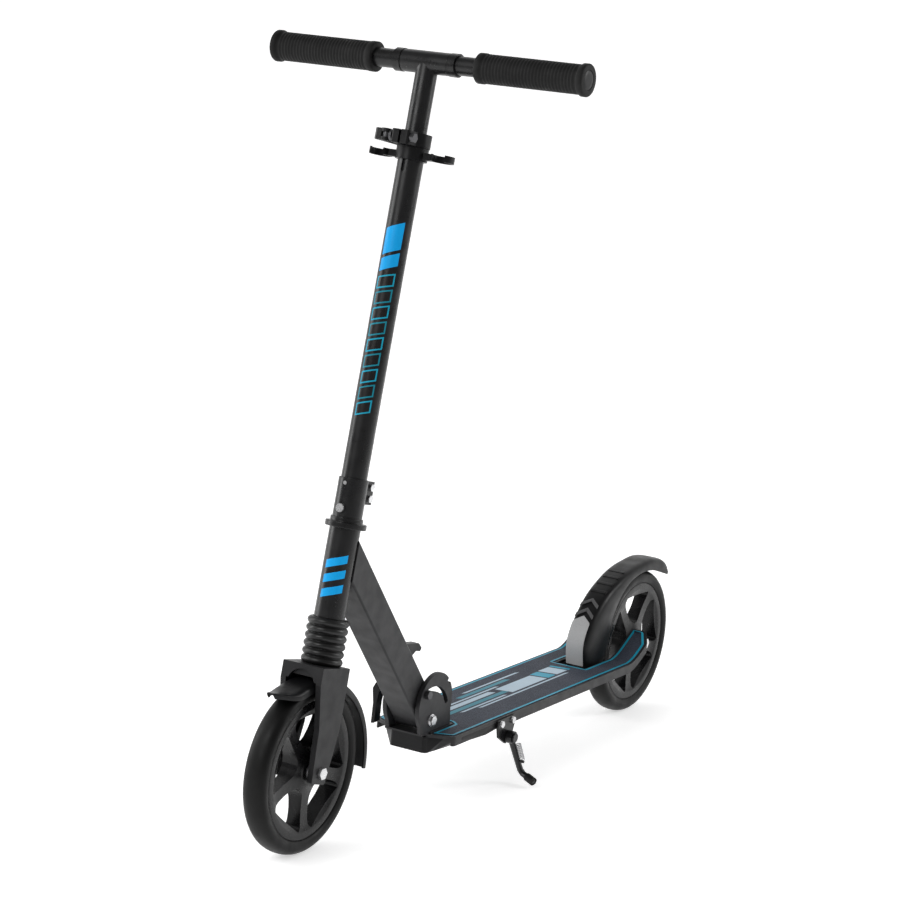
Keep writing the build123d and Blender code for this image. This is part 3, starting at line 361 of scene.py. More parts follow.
def grit_tape():
    """Slate grit sheet."""
    mat, tree, shader = material("grip_tape")
    grit = object_noise(tree, 1400.0, 2.0)
    blotch = object_noise(tree, 24.0, 3.0)
    base = ramp(tree, blotch, (0.3, (0.018, 0.026, 0.045)), (0.7, (0.036, 0.044, 0.066)))
    speck = ramp(tree, grit, (0.42, grey(0.55)), (0.62, grey(1.45)))
    tree.links.new(multiplied(tree, base, speck), shader.inputs["Base Color"])
    gloss = ramp(tree, grit, (0.3, grey(0.9)), (0.75, grey(0.55)))
    tree.links.new(gloss, shader.inputs["Roughness"])
    add_bump(tree, shader, grit, 0.5, GRIT_DEPTH)
    return mat


BLACK_PAINT = coated(
    "satin_black_paint", (0.006, 0.006, 0.0065), 0.30, grain=2200.0, bump=0.08, shine=0.35,
)
GREY_PAINT = coated(
    "graphite_paint", (0.020, 0.020, 0.0215), 0.48, grain=1500.0, bump=0.16, shine=0.3,
)
FORK_PAINT = coated(
    "fork_paint", (0.015, 0.015, 0.016), 0.46, grain=1500.0, bump=0.16, shine=0.25,
)
PLASTIC = coated(
    "moulded_plastic", (0.005, 0.005, 0.0055), 0.38, grain=1200.0, bump=0.12, shine=0.2,
)
WHEEL_PLASTIC = coated(
    "wheel_plastic", (0.005, 0.005, 0.0055), 0.28, grain=900.0, bump=0.06, shine=0.24,
)
TYRE = coated("tyre_rubber", grey(0.005), 0.46, grain=700.0, bump=0.2, shine=0.16)
RUBBER = coated("matt_rubber", grey(0.010), 0.62, grain=900.0, bump=0.3, shine=0.15)
BOOT = coated("boot_rubber", grey(0.007), 0.36, grain=800.0, bump=0.12, shine=0.35)
INSERT = coated(
    "pale_insert", (0.42, 0.42, 0.425), 0.5, grain=1600.0, bump=0.25, vary=0.06,
)
CHEVRON = coated(
    "chevron_plastic", (0.09, 0.09, 0.092), 0.5, grain=1200.0, bump=0.2, vary=0.1,
)
ZINC = steel("zinc_steel", (0.72, 0.72, 0.73), 0.28)
DARK_STEEL = steel("dark_steel", (0.10, 0.10, 0.105), 0.38)
BLUE = printed("blue_print", (0.002, 0.36, 0.80))
CYAN = printed("cyan_print", (0.008, 0.34, 0.50))
TEAL = printed("teal_print", (0.008, 0.22, 0.30))
PALE = printed("pale_print", (0.45, 0.58, 0.68))
TAPE = grit_tape()


# ---------------------------------------------------------------- wheels
TYRE_HALF = 15.0
RIM_RADIUS = 82.0
WINDOWS = 5
WINDOW_START = math.radians(54.0)
WINDOW_INNER = 25.5
WINDOW_OUTER = 72.5
WINDOW_MIDDLE = 50.0
WINDOW_REACH = 24.5
WINDOW_STEPS = 14
SPOKE_HALF = 7.0
SPOKE_SWELL = 1.2
HUB_FLARE = 4.6
RIM_FLARE = 11.0
CUTTER_HALF = 40.0


def mirrored(side):
    """The mirror image of a half profile of (radius, distance across), in reverse order."""
    return [(r, -x) for r, x in reversed(side)]


def tyre_profile():
    """Closed profile of the tyre, as (radius, distance across)."""
    side = [
        (RIM_RADIUS + 0.1, 11.8), (84.0, 13.2), (87.0, 14.6), (90.5, TYRE_HALF - 0.02),
        (93.5, TYRE_HALF - 0.5), (95.4, 13.4), (97.2, 11.4), (98.6, 8.8), (99.5, 5.6),
        (99.95, 2.6),
    ]
    return side + [(WHEEL_RADIUS, 0.0)] + mirrored(side)


def rim_profile():
    """Closed profile of the rim body before its windows are cut."""
    side = [
        (11.2, 14.9), (16.4, 14.9), (17.6, 14.2), (19.5, 12.6), (26.0, 10.6), (36.0, 9.0),
        (48.0, 8.4), (60.0, 8.9), (67.0, 9.9), (72.0, 11.6), (74.0, 12.4), (80.6, 12.4),
        (81.6, 11.9), (RIM_RADIUS, 11.6),
    ]
    return side + mirrored(side)


def window_outline(index):
    """Outline of one rim window, between two flared spokes."""
    pitch = 2 * math.pi / WINDOWS
    start = WINDOW_START + index * pitch
    length = WINDOW_OUTER - WINDOW_INNER
    stations = [
        WINDOW_INNER + length * (0.5 - 0.5 * math.cos(math.pi * k / WINDOW_STEPS))
        for k in range(WINDOW_STEPS + 1)
    ]
    points = []
    for leading, radii in ((True, stations), (False, stations[::-1])):
        for r in radii:
            reach = abs((r - WINDOW_MIDDLE) / WINDOW_REACH)
            flare = HUB_FLARE if r < WINDOW_MIDDLE else RIM_FLARE
            width = SPOKE_HALF + SPOKE_SWELL * reach ** 2 + flare * reach ** 8
            edge = math.asin(width / r)
            angle = start + (edge if leading else pitch - edge)
            points.append((r * math.cos(angle), r * math.sin(angle)))
    return points


def cutter(points):
    """A block of the given side outline, across the wheel."""
    count = len(points)
    verts = [(-CUTTER_HALF, y, z) for y, z in points]
    verts += [(CUTTER_HALF, y, z) for y, z in points]
    faces = [tuple(range(count)), tuple(range(2 * count - 1, count - 1, -1))]
    for k in range(count):
        m = (k + 1) % count
        faces.append((k, m, count + m, count + k))
    return recalc(new_object("cutter", verts, faces, False))


def make_wheel(end, y):
    """Tyre and rim of one wheel."""
    centre = Matrix.Translation((0, y, WHEEL_RADIUS))
    body = f"{end}_wheel"
    tyre = lathe(f"{end}_tyre_soft", tyre_profile(), "X", 160)
    paint(place(tyre, centre), TYRE)
    finish_piece(tyre, body, f"{end}_tyre")
    rim = lathe(f"{end}_rim_soft", rim_profile(), "X", 120)
    blocks = [cutter(window_outline(index)) for index in range(WINDOWS)]
    for block in blocks:
        modifier(rim, "BOOLEAN", object=block, operation="DIFFERENCE", solver="EXACT")
    apply_all(rim)
    for block in blocks:
        bpy.data.objects.remove(block)
    bevel(rim, 1.1, 3, 38)
    apply_all(rim)
    soften(rim, 34)
    even_shading(rim)
    paint(place(rim, centre), WHEEL_PLASTIC)
    finish_piece(rim, body, f"{end}_rim")


# ---------------------------------------------------------------- sprung fork
BOOT_RIBS = 6
BOOT_STEPS = 120
BOOT_ROOT = 20.8
BOOT_RIB = 3.5
BOOT_BORE = 19.5
BOOT_GAP = 0.2


def boot_profile():
    """Closed profile of the ribbed boot, as (radius, height) in the steering frame."""
    low, high = CROWN_TOP + BOOT_GAP, HEAD_BOTTOM - BOOT_GAP
    outer = []
    for k in range(BOOT_STEPS + 1):
        t = k / BOOT_STEPS
        wave = abs(math.sin(math.pi * BOOT_RIBS * t))
        outer.append((BOOT_ROOT + BOOT_RIB * wave ** 0.62, low + (high - low) * t))
    return outer + [(BOOT_BORE, high), (BOOT_BORE, low)]


def make_boot():
    """The ribbed boot on the steering body, with a mesh of its own."""
    boot = lathe("boot", boot_profile(), "Z", 96)
    paint(place(boot, STEER), BOOT)
    finish_piece(boot, "steering", "suspension_bellows")
    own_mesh(boot)


def make_coil():
    """A copy of the fork's coil on the steering body, standing for the CAD coil."""
    coil = add_to_scene("coil", NODES["suspension_spring"].data.copy())
    paint(coil, ZINC)
    finish_piece(coil, "steering", "suspension_spring")
    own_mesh(coil)


# ---------------------------------------------------------------- grips
GRIP_START = 68.0
GRIP_END = 206.9
GRIP_BORE = 11.3
GRIP_ROOT = 16.4
GRIP_RIB = 16.9
RIB_PITCH = 4.2


def grip_profile():
    """Closed profile of a grip, as (radius, distance from the mid-plane)."""
    line = [
        (GRIP_BORE, GRIP_START), (16.6, GRIP_START), (17.5, GRIP_START + 0.8),
        (17.5, GRIP_START + 8.0), (GRIP_ROOT, GRIP_START + 9.2),
    ]
    x = GRIP_START + 11.0
    while x < GRIP_END - 12.0:
        line += [(GRIP_ROOT, x), (GRIP_RIB, x + 0.7), (GRIP_RIB, x + 2.3), (GRIP_ROOT, x + 3.0)]
        x += RIB_PITCH
    return line + [
        (GRIP_ROOT, GRIP_END - 9.0), (17.0, GRIP_END - 8.0), (18.5, GRIP_END - 6.6),
        (18.6, GRIP_END - 1.4), (18.0, GRIP_END - 0.5), (15.4, GRIP_END), (GRIP_BORE, GRIP_END),
    ]


PLUG_PROFILE = [
    (0.0, 206.95), (6.0, 206.95), (9.8, 206.9), (11.0, 206.4), (11.25, 205.0), (11.25, 190.0),
    (0.0, 190.0),
]


def make_grip(side, sign):
    """Grip and end plug of one handle."""
    bar = STEER @ Matrix.Translation((0, 0, BAR_LEVEL)) @ Matrix.Rotation(TILT, 4, "X")
    turn = bar @ Matrix.Scale(sign, 4, (1, 0, 0))
    grip = lathe(f"{side}_grip_soft", grip_profile(), "X", 72)
    plug = lathe(f"{side}_plug_soft", PLUG_PROFILE, "X", 48, closed=False)
    for obj in (grip, plug):
        recalc(place(obj, turn))
        soften(obj, 50)
    paint(grip, RUBBER)
    finish_piece(grip, f"{side}_handle", f"{side}_grip")
    paint(plug, PLASTIC)
    finish_piece(plug, f"{side}_handle", f"{side}_end_plug")


# ---------------------------------------------------------------- fenders
# Skins and edges are (degrees about the axle, height above the tyre), from 0 at the rear.
FRONT_SKIN = [
    (-11, 18.6), (20, 14.6), (55, 8.6), (87, 6.6), (108, 7.6), (118, 13.6), (126, 29.4),
]
FRONT_EDGE = [(-11, 7), (20, 3), (55, -2), (87, -4), (108, -3), (117, 4), (126, 20)]
REAR_SKIN = [
    (49, 18.4), (56, 23.9), (73.4, 18.9), (96.1, 12.5), (124.8, 20.6), (150.2, 40.6),
    (169.7, 55.9), (180.4, 51.4), (188.5, 45.9),
]
REAR_EDGE = [(49, 12), (56, 7), (66, 3), (90, 0), (124, 1), (152, -1), (176, -2), (188.5, 10)]
FRONT_HALF = 19.0
REAR_HALF = 18.9
LIP_START = 110
LIP_SPAN = 16
LIP_DRAW = 14.5
SHELL_STEPS = 32


def hermite(points, at):
    """The value of a smooth curve through (position, value) points."""
    pts = sorted(points)
    last = len(pts) - 1
    i = next((k for k in range(last) if at <= pts[k + 1][0]), last - 1)
    slopes = []
    for k in (i, i + 1):
        lo, hi = max(k - 1, 0), min(k + 1, last)
        slopes.append((pts[hi][1] - pts[lo][1]) / (pts[hi][0] - pts[lo][0]))
    (x0, y0), (x1, y1) = pts[i], pts[i + 1]
    span = x1 - x0
    t = (at - x0) / span
    return (
        y0 * (1 + 2 * t) * (1 - t) ** 2 + span * slopes[0] * t * (1 - t) ** 2
        + y1 * t * t * (3 - 2 * t) + span * slopes[1] * t * t * (t - 1)
    )


def around_axle(across, axle_y, radius, degrees):
    """A point at a radius and an angle about a wheel's axle."""
    turn = math.radians(degrees)
    return (
        across, axle_y + radius * math.cos(turn), WHEEL_RADIUS + radius * math.sin(turn),
    )


def thicken(obj, depth, rounding):
    """Give a surface a thickness inward, and round its rim."""
    recalc(obj)
    modifier(obj, "SOLIDIFY", thickness=depth * MM, offset=-1.0)
    bevel(obj, rounding, 2, 50)
    apply_all(obj)
    soften(obj, 45)
    return obj


def fender_shell(name, skin, edge, half, count, square, axle_y, depth):
    """An arched shell about an axle. half gives the half width at an angle."""
    first, last = skin[0][0], skin[-1][0]
    rows = []
    for k in range(count):
        a = first + (last - first) * k / (count - 1)
        top, low, wide = hermite(skin, a), hermite(edge, a), half(a)
        row = []
        for j in range(SHELL_STEPS + 1):
            t = math.pi * (j / SHELL_STEPS - 0.5)
            across = wide * math.copysign(abs(math.sin(t)) ** square, math.sin(t))
            radius = WHEEL_RADIUS + low + (top - low) * abs(math.cos(t)) ** square
            row.append(around_axle(across, axle_y, radius, a))
        rows.append(row)
    return thicken(grid(name, rows), depth, 0.5)


def front_half(a):
    """Half width of the front fender: full over the wheel and drawn to a point at the lip."""
    if a < LIP_START:
        return FRONT_HALF
    return FRONT_HALF - LIP_DRAW * ((a - LIP_START) / LIP_SPAN) ** 2.0


def rear_half(_):
    """Half width of the rear fender, the same all round."""
    return REAR_HALF


def make_fenders():
    """The shells of both fenders."""
    front = fender_shell(
        "front_fender_soft", FRONT_SKIN, FRONT_EDGE, front_half, 90, 0.5, FRONT_Y, 2.0,
    )
    paint(front, PLASTIC)
    finish_piece(front, "fork", "front_fender")
    rear = fender_shell(
        "rear_fender_soft", REAR_SKIN, REAR_EDGE, rear_half, 110, 0.42, REAR_Y, 2.4,
    )
    paint(rear, PLASTIC)
    finish_piece(rear, "brake", "rear_fender")


# Raised marks of the rear fender, as (degrees, across).
INSERT_OUTLINE = [(182.6, -12.6), (182.6, 12.6), (160.5, 12.6), (157.0, 0.0), (160.5, -12.6)]
CHEVRONS = (152.0, 145.5)
CHEVRON_HALF = 13.0
RIDGES = (138.0, 130.0, 122.0, 114.0)
RIDGE_HALF = 12.0
RIDGE_SPAN = 2.4
PATCH_STEPS = 8


def crossings(outline, a):
    """Where a line of constant angle enters and leaves the outline."""
    found = []
    for (a0, x0), (a1, x1) in zip(outline, outline[1:] + outline[:1]):
        if a0 == a1:
            if abs(a - a0) < 1e-9:
                found += [x0, x1]
            continue
        t = (a - a0) / (a1 - a0)
        if -1e-9 <= t <= 1 + 1e-9:
            found.append(x0 + (x1 - x0) * t)
    return min(found), max(found)


def fender_patch(name, outline, lift, depth, cuts):
    """A thin raised patch on the rear fender, cut into strips by angle."""
    low, high = min(outline)[0], max(outline)[0]
    rows = []
    for k in range(cuts + 1):
        a = low + (high - low) * k / cuts
        start, end = crossings(outline, a)
        radius = WHEEL_RADIUS + hermite(REAR_SKIN, a) + lift
        rows.append([
            around_axle(start + (end - start) * j / PATCH_STEPS, REAR_Y, radius, a)
            for j in range(PATCH_STEPS + 1)
        ])
    return thicken(grid(name, rows), depth, 0.3)


def make_fender_marks():
    """The pale insert, the chevrons and the cross ridges of the rear fender."""
    insert = fender_patch("insert_soft", INSERT_OUTLINE, 0.75, 1.6, 24)
    paint(insert, INSERT)
    finish_piece(insert, "brake", "fender_insert")
    for index, point in enumerate(CHEVRONS):
        for sign in (1, -1):
            side = sign * CHEVRON_HALF
            outline = [
                (point, 0.0), (point + 4.0, side), (point + 6.2, side), (point + 2.2, 0.0),
            ]
            arm = fender_patch(f"chevron_{index}_{sign}", outline, 0.75, 1.4, 8)
            paint(arm, CHEVRON)
            finish_piece(arm, "brake")
    for index, low in enumerate(RIDGES):
        high = low + RIDGE_SPAN
        outline = [(low, -RIDGE_HALF), (low, RIDGE_HALF), (high, RIDGE_HALF), (high, -RIDGE_HALF)]
        ridge = fender_patch(f"ridge_{index}", outline, 0.6, 1.2, 4)
        paint(ridge, PLASTIC)
        finish_piece(ridge, "brake")


# ---------------------------------------------------------------- front fairing of the deck
# The half width at distances behind the front axle.
FAIRING_WIDTHS = [
    (235.2, 20.6), (237.0, 24.4), (240.0, 27.4), (250.0, 42.0), (259.0, 53.0), (266.0, 55.9),
    (275.0, 56.15), (300.0, 56.15), (330.0, 56.15), (360.0, 56.15),
]
FAIRING_TOP = 89.9
FAIRING_WALL = 5.0
FAIRING_ROUNDING = 0.8

# Its underside rises, its foot widens and its skirt comes down towards the rear. Each has
# a value at the front, a change, and the distance where the change starts and how long it is.
UNDERSIDE, UNDERSIDE_RISE, UNDERSIDE_START, UNDERSIDE_SPAN = 70.0, 12.0, 244.0, 116.0
FOOT, FOOT_GROWTH, FOOT_START, FOOT_SPAN = 26.5, 28.0, 241.0, 100.0
SKIRT, SKIRT_DROP, SKIRT_START, SKIRT_SPAN = 89.0, 9.0, 250.0, 60.0
NOSE_END = 245.0
FOOT_GAP = 0.5
SKIRT_GAP = 1.0


def share(value, start, span):
    """How far a value is along a span, from 0 to 1."""
    return max(0.0, min(1.0, (value - start) / span))


def fairing_ring(back, half):
    """Section of the fairing, as (across, height)."""
    low = UNDERSIDE + UNDERSIDE_RISE * share(back, UNDERSIDE_START, UNDERSIDE_SPAN)
    widened = FOOT + FOOT_GROWTH * max(0.0, (back - FOOT_START) / FOOT_SPAN)
    foot = min(half - FOOT_GAP, widened)
    skirt = low + SKIRT_GAP
    if back > NOSE_END:
        skirt = max(skirt, SKIRT - SKIRT_DROP * share(back, SKIRT_START, SKIRT_SPAN))
    inner = half - FAIRING_WALL
    return [
        (-half, FAIRING_TOP), (-half, skirt), (-foot, low), (foot, low), (half, skirt),
        (half, FAIRING_TOP), (inner, FAIRING_TOP), (-inner, FAIRING_TOP), (-half, FAIRING_TOP),
    ]


def make_fairing():
    """The moulded wedge that fills the deck's front corners under the plate."""
    rows = [
        [(x, FRONT_Y + back, z) for x, z in fairing_ring(back, half)]
        for back, half in FAIRING_WIDTHS
    ]
    body = grid("fairing", rows)
    with editing(body) as bm:
        bmesh.ops.remove_doubles(bm, verts=bm.verts, dist=WELD)
        bmesh.ops.holes_fill(bm, edges=bm.edges, sides=12)
        bmesh.ops.recalc_face_normals(bm, faces=bm.faces)
    bevel(body, FAIRING_ROUNDING, 2, CAD_BEVEL_ANGLE)
    apply_all(body)
    soften(body, CAD_SHARP_ANGLE)
    paint(body, PLASTIC)
    finish_piece(body, "deck")


# ---------------------------------------------------------------- CAD pieces
# Rounded copies: node, edge radius, segments, material, slot.
ROUNDED = [
    ("fork", 1.4, 3, FORK_PAINT, "graphite_aluminium"),
    ("down_tube", 1.6, 3, GREY_PAINT, "graphite_aluminium"),
    ("fold_bracket_left", 0.9, 3, GREY_PAINT, "graphite_aluminium"),
    ("fold_bracket_right", 0.9, 3, GREY_PAINT, "graphite_aluminium"),
    ("carry_hook", 0.8, 2, GREY_PAINT, "graphite_aluminium"),
    ("front_nose", 2.0, 3, PLASTIC, "black_plastic"),
    ("lower_collar", 0.6, 2, BLACK_PAINT, "black_steel"),
    ("headset_flange", 0.9, 3, BLACK_PAINT, "black_steel"),
    ("clamp_collar", 0.7, 2, PLASTIC, "black_plastic"),
    ("clip_ring", 0.7, 2, PLASTIC, "black_plastic"),
    ("clamp_lever", 0.6, 2, PLASTIC, "black_plastic"),
    ("fold_lever", 0.6, 2, PLASTIC, "black_plastic"),
    ("bar_sleeve", 0.6, 2, BLACK_PAINT, "black_steel"),
    ("stand_bracket", 0.5, 2, BLACK_PAINT, "black_steel"),
    ("stand_foot", 0.6, 2, RUBBER, "rubber"),
    ("front_axle_bolt", 0.5, 2, ZINC, "bright_steel"),
    ("rear_axle_bolt", 0.5, 2, ZINC, "bright_steel"),
    ("fold_pivot_bolt", 0.5, 2, ZINC, "bright_steel"),
]

# Nodes that keep their CAD mesh.
PAINTED = {
    BLACK_PAINT: [
        "column_tube", "steerer_tube", "head_tube", "stem_tube", "sleeve_rings",
        "left_handle_tube", "right_handle_tube", "suspension_rod", "stand_leg",
    ],
    GREY_PAINT: ["fold_knuckle", "fold_base_plate", "deck_plate", "frame_rail"],
    RUBBER: ["brake_pad"],
    ZINC: [
        "front_axle_spacers", "rear_axle_spacers", "front_hub_bearings", "rear_hub_bearings",
        "base_screws", "headset_bearings", "fender_pivot_bolt", "fender_spring",
        "stand_bolts", "collar_bolts", "stand_spring",
    ],
    DARK_STEEL: ["clamp_skewer", "lock_skewer"],
}


def recolour(node, skin):
    """Give a CAD node one material."""
    NODES[node].data.materials.clear()
    NODES[node].data.materials.append(skin)


def dress_cad_pieces():
    """Round and paint the CAD nodes that have no piece of their own."""
    for node, width, segments, skin, slot in ROUNDED:
        paint(rounded_copy(node, width, segments), skin)
    for skin, nodes in PAINTED.items():
        for node in nodes:
            recolour(node, skin)
            soften(NODES[node], CAD_SHARP_ANGLE)
    recolour("grip_tape", TAPE)


# ---------------------------------------------------------------- tape border and deck prints
LINE_NEAR = 0.6
LINE_FAR = 3.6
LINE_LIFT = 0.06
LINE_STEP = 2.5
UPWARD = 0.7
PRINT_LIFT = 0.05
LAYER = 0.02
DECK_SLANT = 6.0

# Across from and to, behind the front axle from and to, ink.
STREAKS = [
    (-34, -31, 420, 560, PALE), (-28, -22, 395, 520, TEAL), (-19, -16, 360, 480, PALE),
    (-13, -5, 332, 452, PALE), (-2, 5, 322, 470, TEAL), (8, 11, 345, 455, PALE),
    (14, 17, 380, 610, PALE), (-13, 10, 470, 562, PALE), (-15, 10, 566, 586, CYAN),
    (-16, 10, 590, 618, PALE), (-17, 10, 622, 628, CYAN),
]


def border_loops(obj):
    """Boundary loops of the upward faces of a plate, as lists of points in metres."""
    bm = bmesh.new()
    bm.from_mesh(obj.data)
    bmesh.ops.remove_doubles(bm, verts=bm.verts, dist=TAPE_WELD)
    up = {face for face in bm.faces if face.normal.z > UPWARD}
    links = {}
    for edge in bm.edges:
        if sum(face in up for face in edge.link_faces) == 1:
            a, b = edge.verts
            links.setdefault(a, []).append(b)
            links.setdefault(b, []).append(a)
    loops, seen = [], set()
    for start in links:
        if start in seen:
            continue
        loop, here, last = [start], start, None
        seen.add(start)
        while True:
            ahead = [v for v in links[here] if v is not last and v not in seen]
            if not ahead:
                break
            last, here = here, ahead[0]
            seen.add(here)
            loop.append(here)
        loops.append([v.co.copy() for v in loop])
    bm.free()
    return loops


def loop_length(loop):
    """The length of an open line of points."""
    return sum((b - a).length for a, b in zip(loop, loop[1:]))


def even_loop(loop, step):
    """The same closed line with points at even steps."""
    closed = loop + [loop[0]]
    marks = [0.0]
    for a, b in zip(closed, closed[1:]):
        marks.append(marks[-1] + (b - a).length)
    count = max(8, int(marks[-1] / step))
    result, at = [], 0
    for k in range(count):
        target = marks[-1] * k / count
        while marks[at + 1] < target:
            at += 1
        span = marks[at + 1] - marks[at]
        t = 0.0 if span < 1e-9 else (target - marks[at]) / span
        result.append(closed[at].lerp(closed[at + 1], t))
    return result


def inset_strip(name, loop):
    """A flat strip that runs inside a closed loop."""
    area = sum(a.x * b.y - b.x * a.y for a, b in zip(loop, loop[1:] + loop[:1]))
    points = even_loop(loop, LINE_STEP * MM)
    count = len(points)
    rows = [[], []]
    for k in range(count):
        before, here, after = points[k - 2], points[k], points[(k + 2) % count]
        way = Vector((after.x - before.x, after.y - before.y, 0.0)).normalized()
        inward = Vector((-way.y, way.x, 0.0)) * (1 if area > 0 else -1)
        for row, gap in zip(rows, (LINE_NEAR, LINE_FAR)):
            row.append(here + inward * gap * MM + Vector((0, 0, LINE_LIFT * MM)))
    verts = [point / MM for row in rows for point in row]
    faces = []
    for k in range(count):
        m = (k + 1) % count
        faces.append((k, m, count + m, count + k))
    strip = recalc(new_object(name, verts, faces))
    for poly in strip.data.polygons:
        if poly.normal.z < 0:
            poly.flip()
    return strip


def make_tape_line():
    """The printed line that follows the tape's edge."""
    line = inset_strip("tape_line", max(border_loops(NODES["grip_tape"]), key=loop_length))
    paint(line, CYAN)
    finish_piece(line, "deck")


def make_deck_prints():
    """Slanted printed streaks and blocks on the flat of the deck."""
    for index, (x0, x1, b0, b1, ink) in enumerate(STREAKS):
        z = TAPE_TOP + PRINT_LIFT + LAYER * (index % 5)
        outline = [(x0, b0), (x1, b0 + DECK_SLANT), (x1, b1 + DECK_SLANT), (x0, b1)]
        verts = [(x, FRONT_Y + back, z) for x, back in outline]
        streak = recalc(new_object(f"deck_print_{index}", verts, [(0, 1, 2, 3)], False))
        paint(streak, ink)
        finish_piece(streak, "deck")


# ---------------------------------------------------------------- prints on the round tubes
TUBE_LIFT = 0.06
TUBE_STEPS = 12
BAR_SLANT = -9.0
FRAME_SLANT = -6.0
FRAME_LINE = 1.7
FRAME_TURN = math.degrees(FRAME_LINE / COLUMN_RADIUS)
COLUMN_BARS = ((582.0, 597.0), (601.0, 632.0))
FRAMES = 9
FRAME_START = 413.0
FRAME_PITCH = 18.2
FRAME_HEIGHT = 14.6
BADGES = 3
BADGE_START = 206.0
BADGE_PITCH = 17.0
BADGE_HEIGHT = 9.5


def tube_print(name, outline, radius, body, skin, layer=0):
    """A printed patch on a tube of the steering frame. The outline is four (degrees from
    forward, height) points, with positive degrees toward the rider's right."""
    left, right = outline[:2], outline[:1:-1]
    grow = radius + TUBE_LIFT + LAYER * layer
    rows = []
    for (a0, h0), (a1, h1) in zip(left, right):
        row = []
        for j in range(TUBE_STEPS + 1):
            t = j / TUBE_STEPS
            turn = math.radians(a0 + (a1 - a0) * t)
            row.append((-grow * math.sin(turn), -grow * math.cos(turn), h0 + (h1 - h0) * t))
        rows.append(row)
    patch = recalc(grid(name, rows))
    place(patch, STEER)
    paint(patch, skin)
    finish_piece(patch, body)


def slanted(a0, a1, h0, h1, slant):
    """Outline of a slanted block for a tube print."""
    return [(a0, h0), (a0, h1), (a1, h1 + slant), (a1, h0 + slant)]


def column_frame(name, a0, a1, low, skin):
    """A slanted outlined box printed on the column, as four thin blocks."""
    high = low + FRAME_HEIGHT
    drop = FRAME_SLANT / (a1 - a0) * FRAME_TURN
    far = FRAME_SLANT - drop
    sides = [
        slanted(a0, a1, low, low + FRAME_LINE, FRAME_SLANT),
        slanted(a0, a1, high - FRAME_LINE, high, FRAME_SLANT),
        slanted(a0, a0 + FRAME_TURN, low, high, drop),
        slanted(a1 - FRAME_TURN, a1, low + far, high + far, drop),
    ]
    for index, outline in enumerate(sides):
        tube_print(f"{name}_{index}", outline, COLUMN_RADIUS, "steering", skin, index % 2)


def make_tube_prints():
    """Bars and boxes on the column, and slanted bars on the head tube."""
    for index, (low, high) in enumerate(COLUMN_BARS):
        outline = slanted(-56, 30, low, high, BAR_SLANT)
        tube_print(f"column_bar_{index}", outline, COLUMN_RADIUS, "steering", BLUE)
    for index in range(FRAMES):
        low = FRAME_START + index * FRAME_PITCH
        ink = TEAL if index % 2 else CYAN
        column_frame(f"column_frame_{index}", -50 - index * 0.5, 22 + index, low, ink)
    for index in range(BADGES):
        low = BADGE_START + index * BADGE_PITCH
        outline = slanted(-62, 22, low, low + BADGE_HEIGHT, BAR_SLANT)
        tube_print(f"badge_{index}", outline, HEAD_RADIUS, "front_frame", BLUE)


# ---------------------------------------------------------------- floor, world, lights and camera
FLOOR_REACH = 9000.0
FLOOR_GLOW = 0.55
SWEEP = 2500.0
WORLD_STRENGTH = 0.28
LIGHT_TARGET = (0.0, 0.0, 0.4)
CAMERA_LENS = 110.45
CAMERA_PLACE = (1.6280, -2.9587, 1.0634)
CAMERA_RIGHT = Vector((0.8563, 0.5101, 0.0806))
CAMERA_FORWARD = Vector((-0.4894, 0.8514, -0.1887))


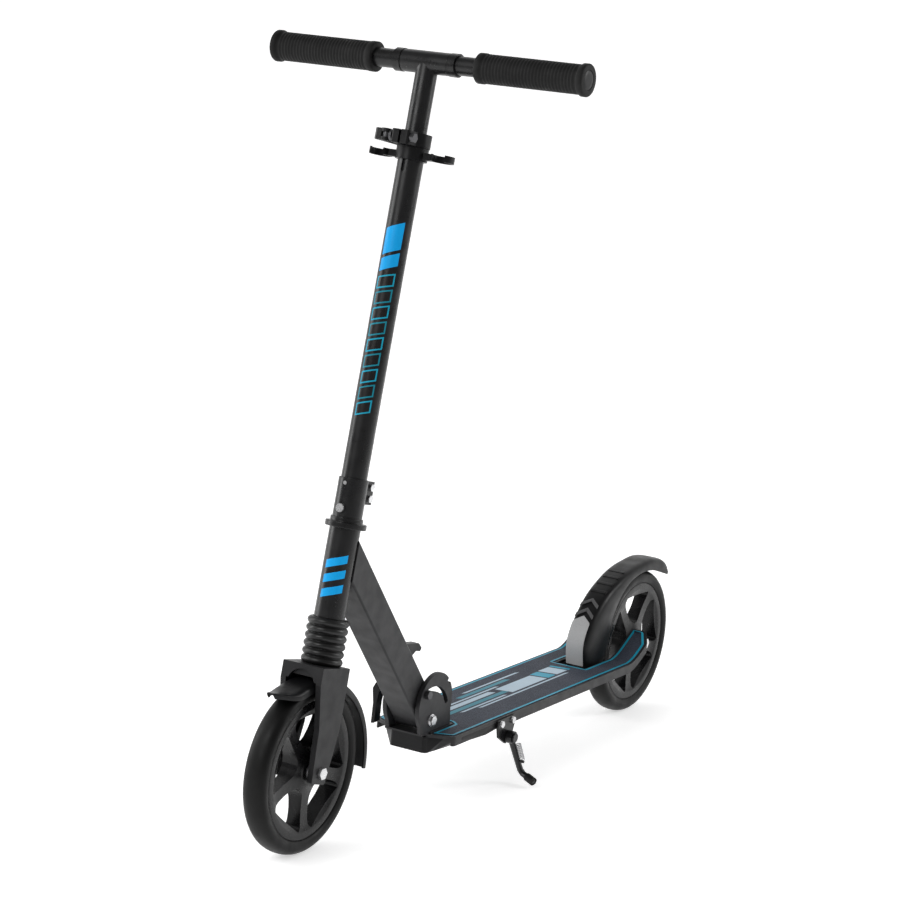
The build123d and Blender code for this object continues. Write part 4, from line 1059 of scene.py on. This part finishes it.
def plain_floor():
    """A wide pale floor that curves up behind the scooter, with a faint mottle."""
    back = Vector((-0.498, 0.867, 0.0))
    across = Vector((0.867, 0.498, 0.0))
    line = [(-FLOOR_REACH, 0.0), (SWEEP, 0.0)]
    for degrees in range(5, 95, 5):
        turn = math.radians(degrees)
        line.append((SWEEP + SWEEP * math.sin(turn), SWEEP - SWEEP * math.cos(turn)))
    line.append((2 * SWEEP, FLOOR_REACH))
    rows = [
        [back * distance + across * side + Vector((0, 0, height)) for distance, height in line]
        for side in (-FLOOR_REACH, FLOOR_REACH)
    ]
    floor = grid("floor", rows)
    mat, tree, shader = material("floor")
    tone = ramp(tree, object_noise(tree, 3.0, 4.0), (0.3, grey(0.90)), (0.7, grey(0.92)))
    tree.links.new(tone, shader.inputs["Base Color"])
    tree.links.new(tone, shader.inputs["Emission Color"])
    shader.inputs["Emission Strength"].default_value = FLOOR_GLOW
    shader.inputs["Roughness"].default_value = 0.8
    shader.inputs["Specular IOR Level"].default_value = 0.1
    floor.data.materials.append(mat)


def world_light():
    """An even near-white surround."""
    world = bpy.data.worlds.new("surround")
    world.use_nodes = True
    background = world.node_tree.nodes["Background"]
    background.inputs["Color"].default_value = (1.0, 1.0, 1.0, 1.0)
    background.inputs["Strength"].default_value = WORLD_STRENGTH
    bpy.context.scene.world = world


def area_light(name, position, size, power, stretch):
    """A soft rectangular light that faces the scooter. Its place and size are in metres."""
    data = bpy.data.lights.new(name, "AREA")
    data.shape = "RECTANGLE"
    data.size = size
    data.size_y = size * stretch
    data.energy = power
    lamp = add_to_scene(name, data)
    lamp.location = position
    way = Vector(LIGHT_TARGET) - Vector(position)
    lamp.rotation_euler = way.to_track_quat("-Z", "Y").to_euler()


def photo_camera():
    """The camera at the photographed angle. It is rolled, as the scooter leans on its stand."""
    data = bpy.data.cameras.new("photo")
    data.lens = CAMERA_LENS
    data.sensor_width = 36.0
    data.dof.use_dof = False
    data.clip_end = 100.0
    camera = add_to_scene("photo", data)
    up = CAMERA_RIGHT.cross(CAMERA_FORWARD)
    turn = Matrix((CAMERA_RIGHT, up, -CAMERA_FORWARD)).transposed().to_4x4()
    camera.matrix_world = Matrix.Translation(CAMERA_PLACE) @ turn
    bpy.context.scene.camera = camera


make_wheel("front", FRONT_Y)
make_wheel("rear", REAR_Y)
make_boot()
make_coil()
make_grip("left", 1)
make_grip("right", -1)
make_fenders()
make_fender_marks()
make_fairing()
dress_cad_pieces()
make_tape_line()
make_deck_prints()
make_tube_prints()

plain_floor()
world_light()
area_light("key", (-0.6, -3.2, 2.6), 1.6, 55.0, 1.4)
area_light("side", (-2.6, -1.2, 1.2), 1.2, 40.0, 2.0)
area_light("rim", (2.4, 1.8, 1.6), 1.0, 35.0, 1.6)
photo_camera()
bpy.context.scene.view_settings.view_transform = "Standard"
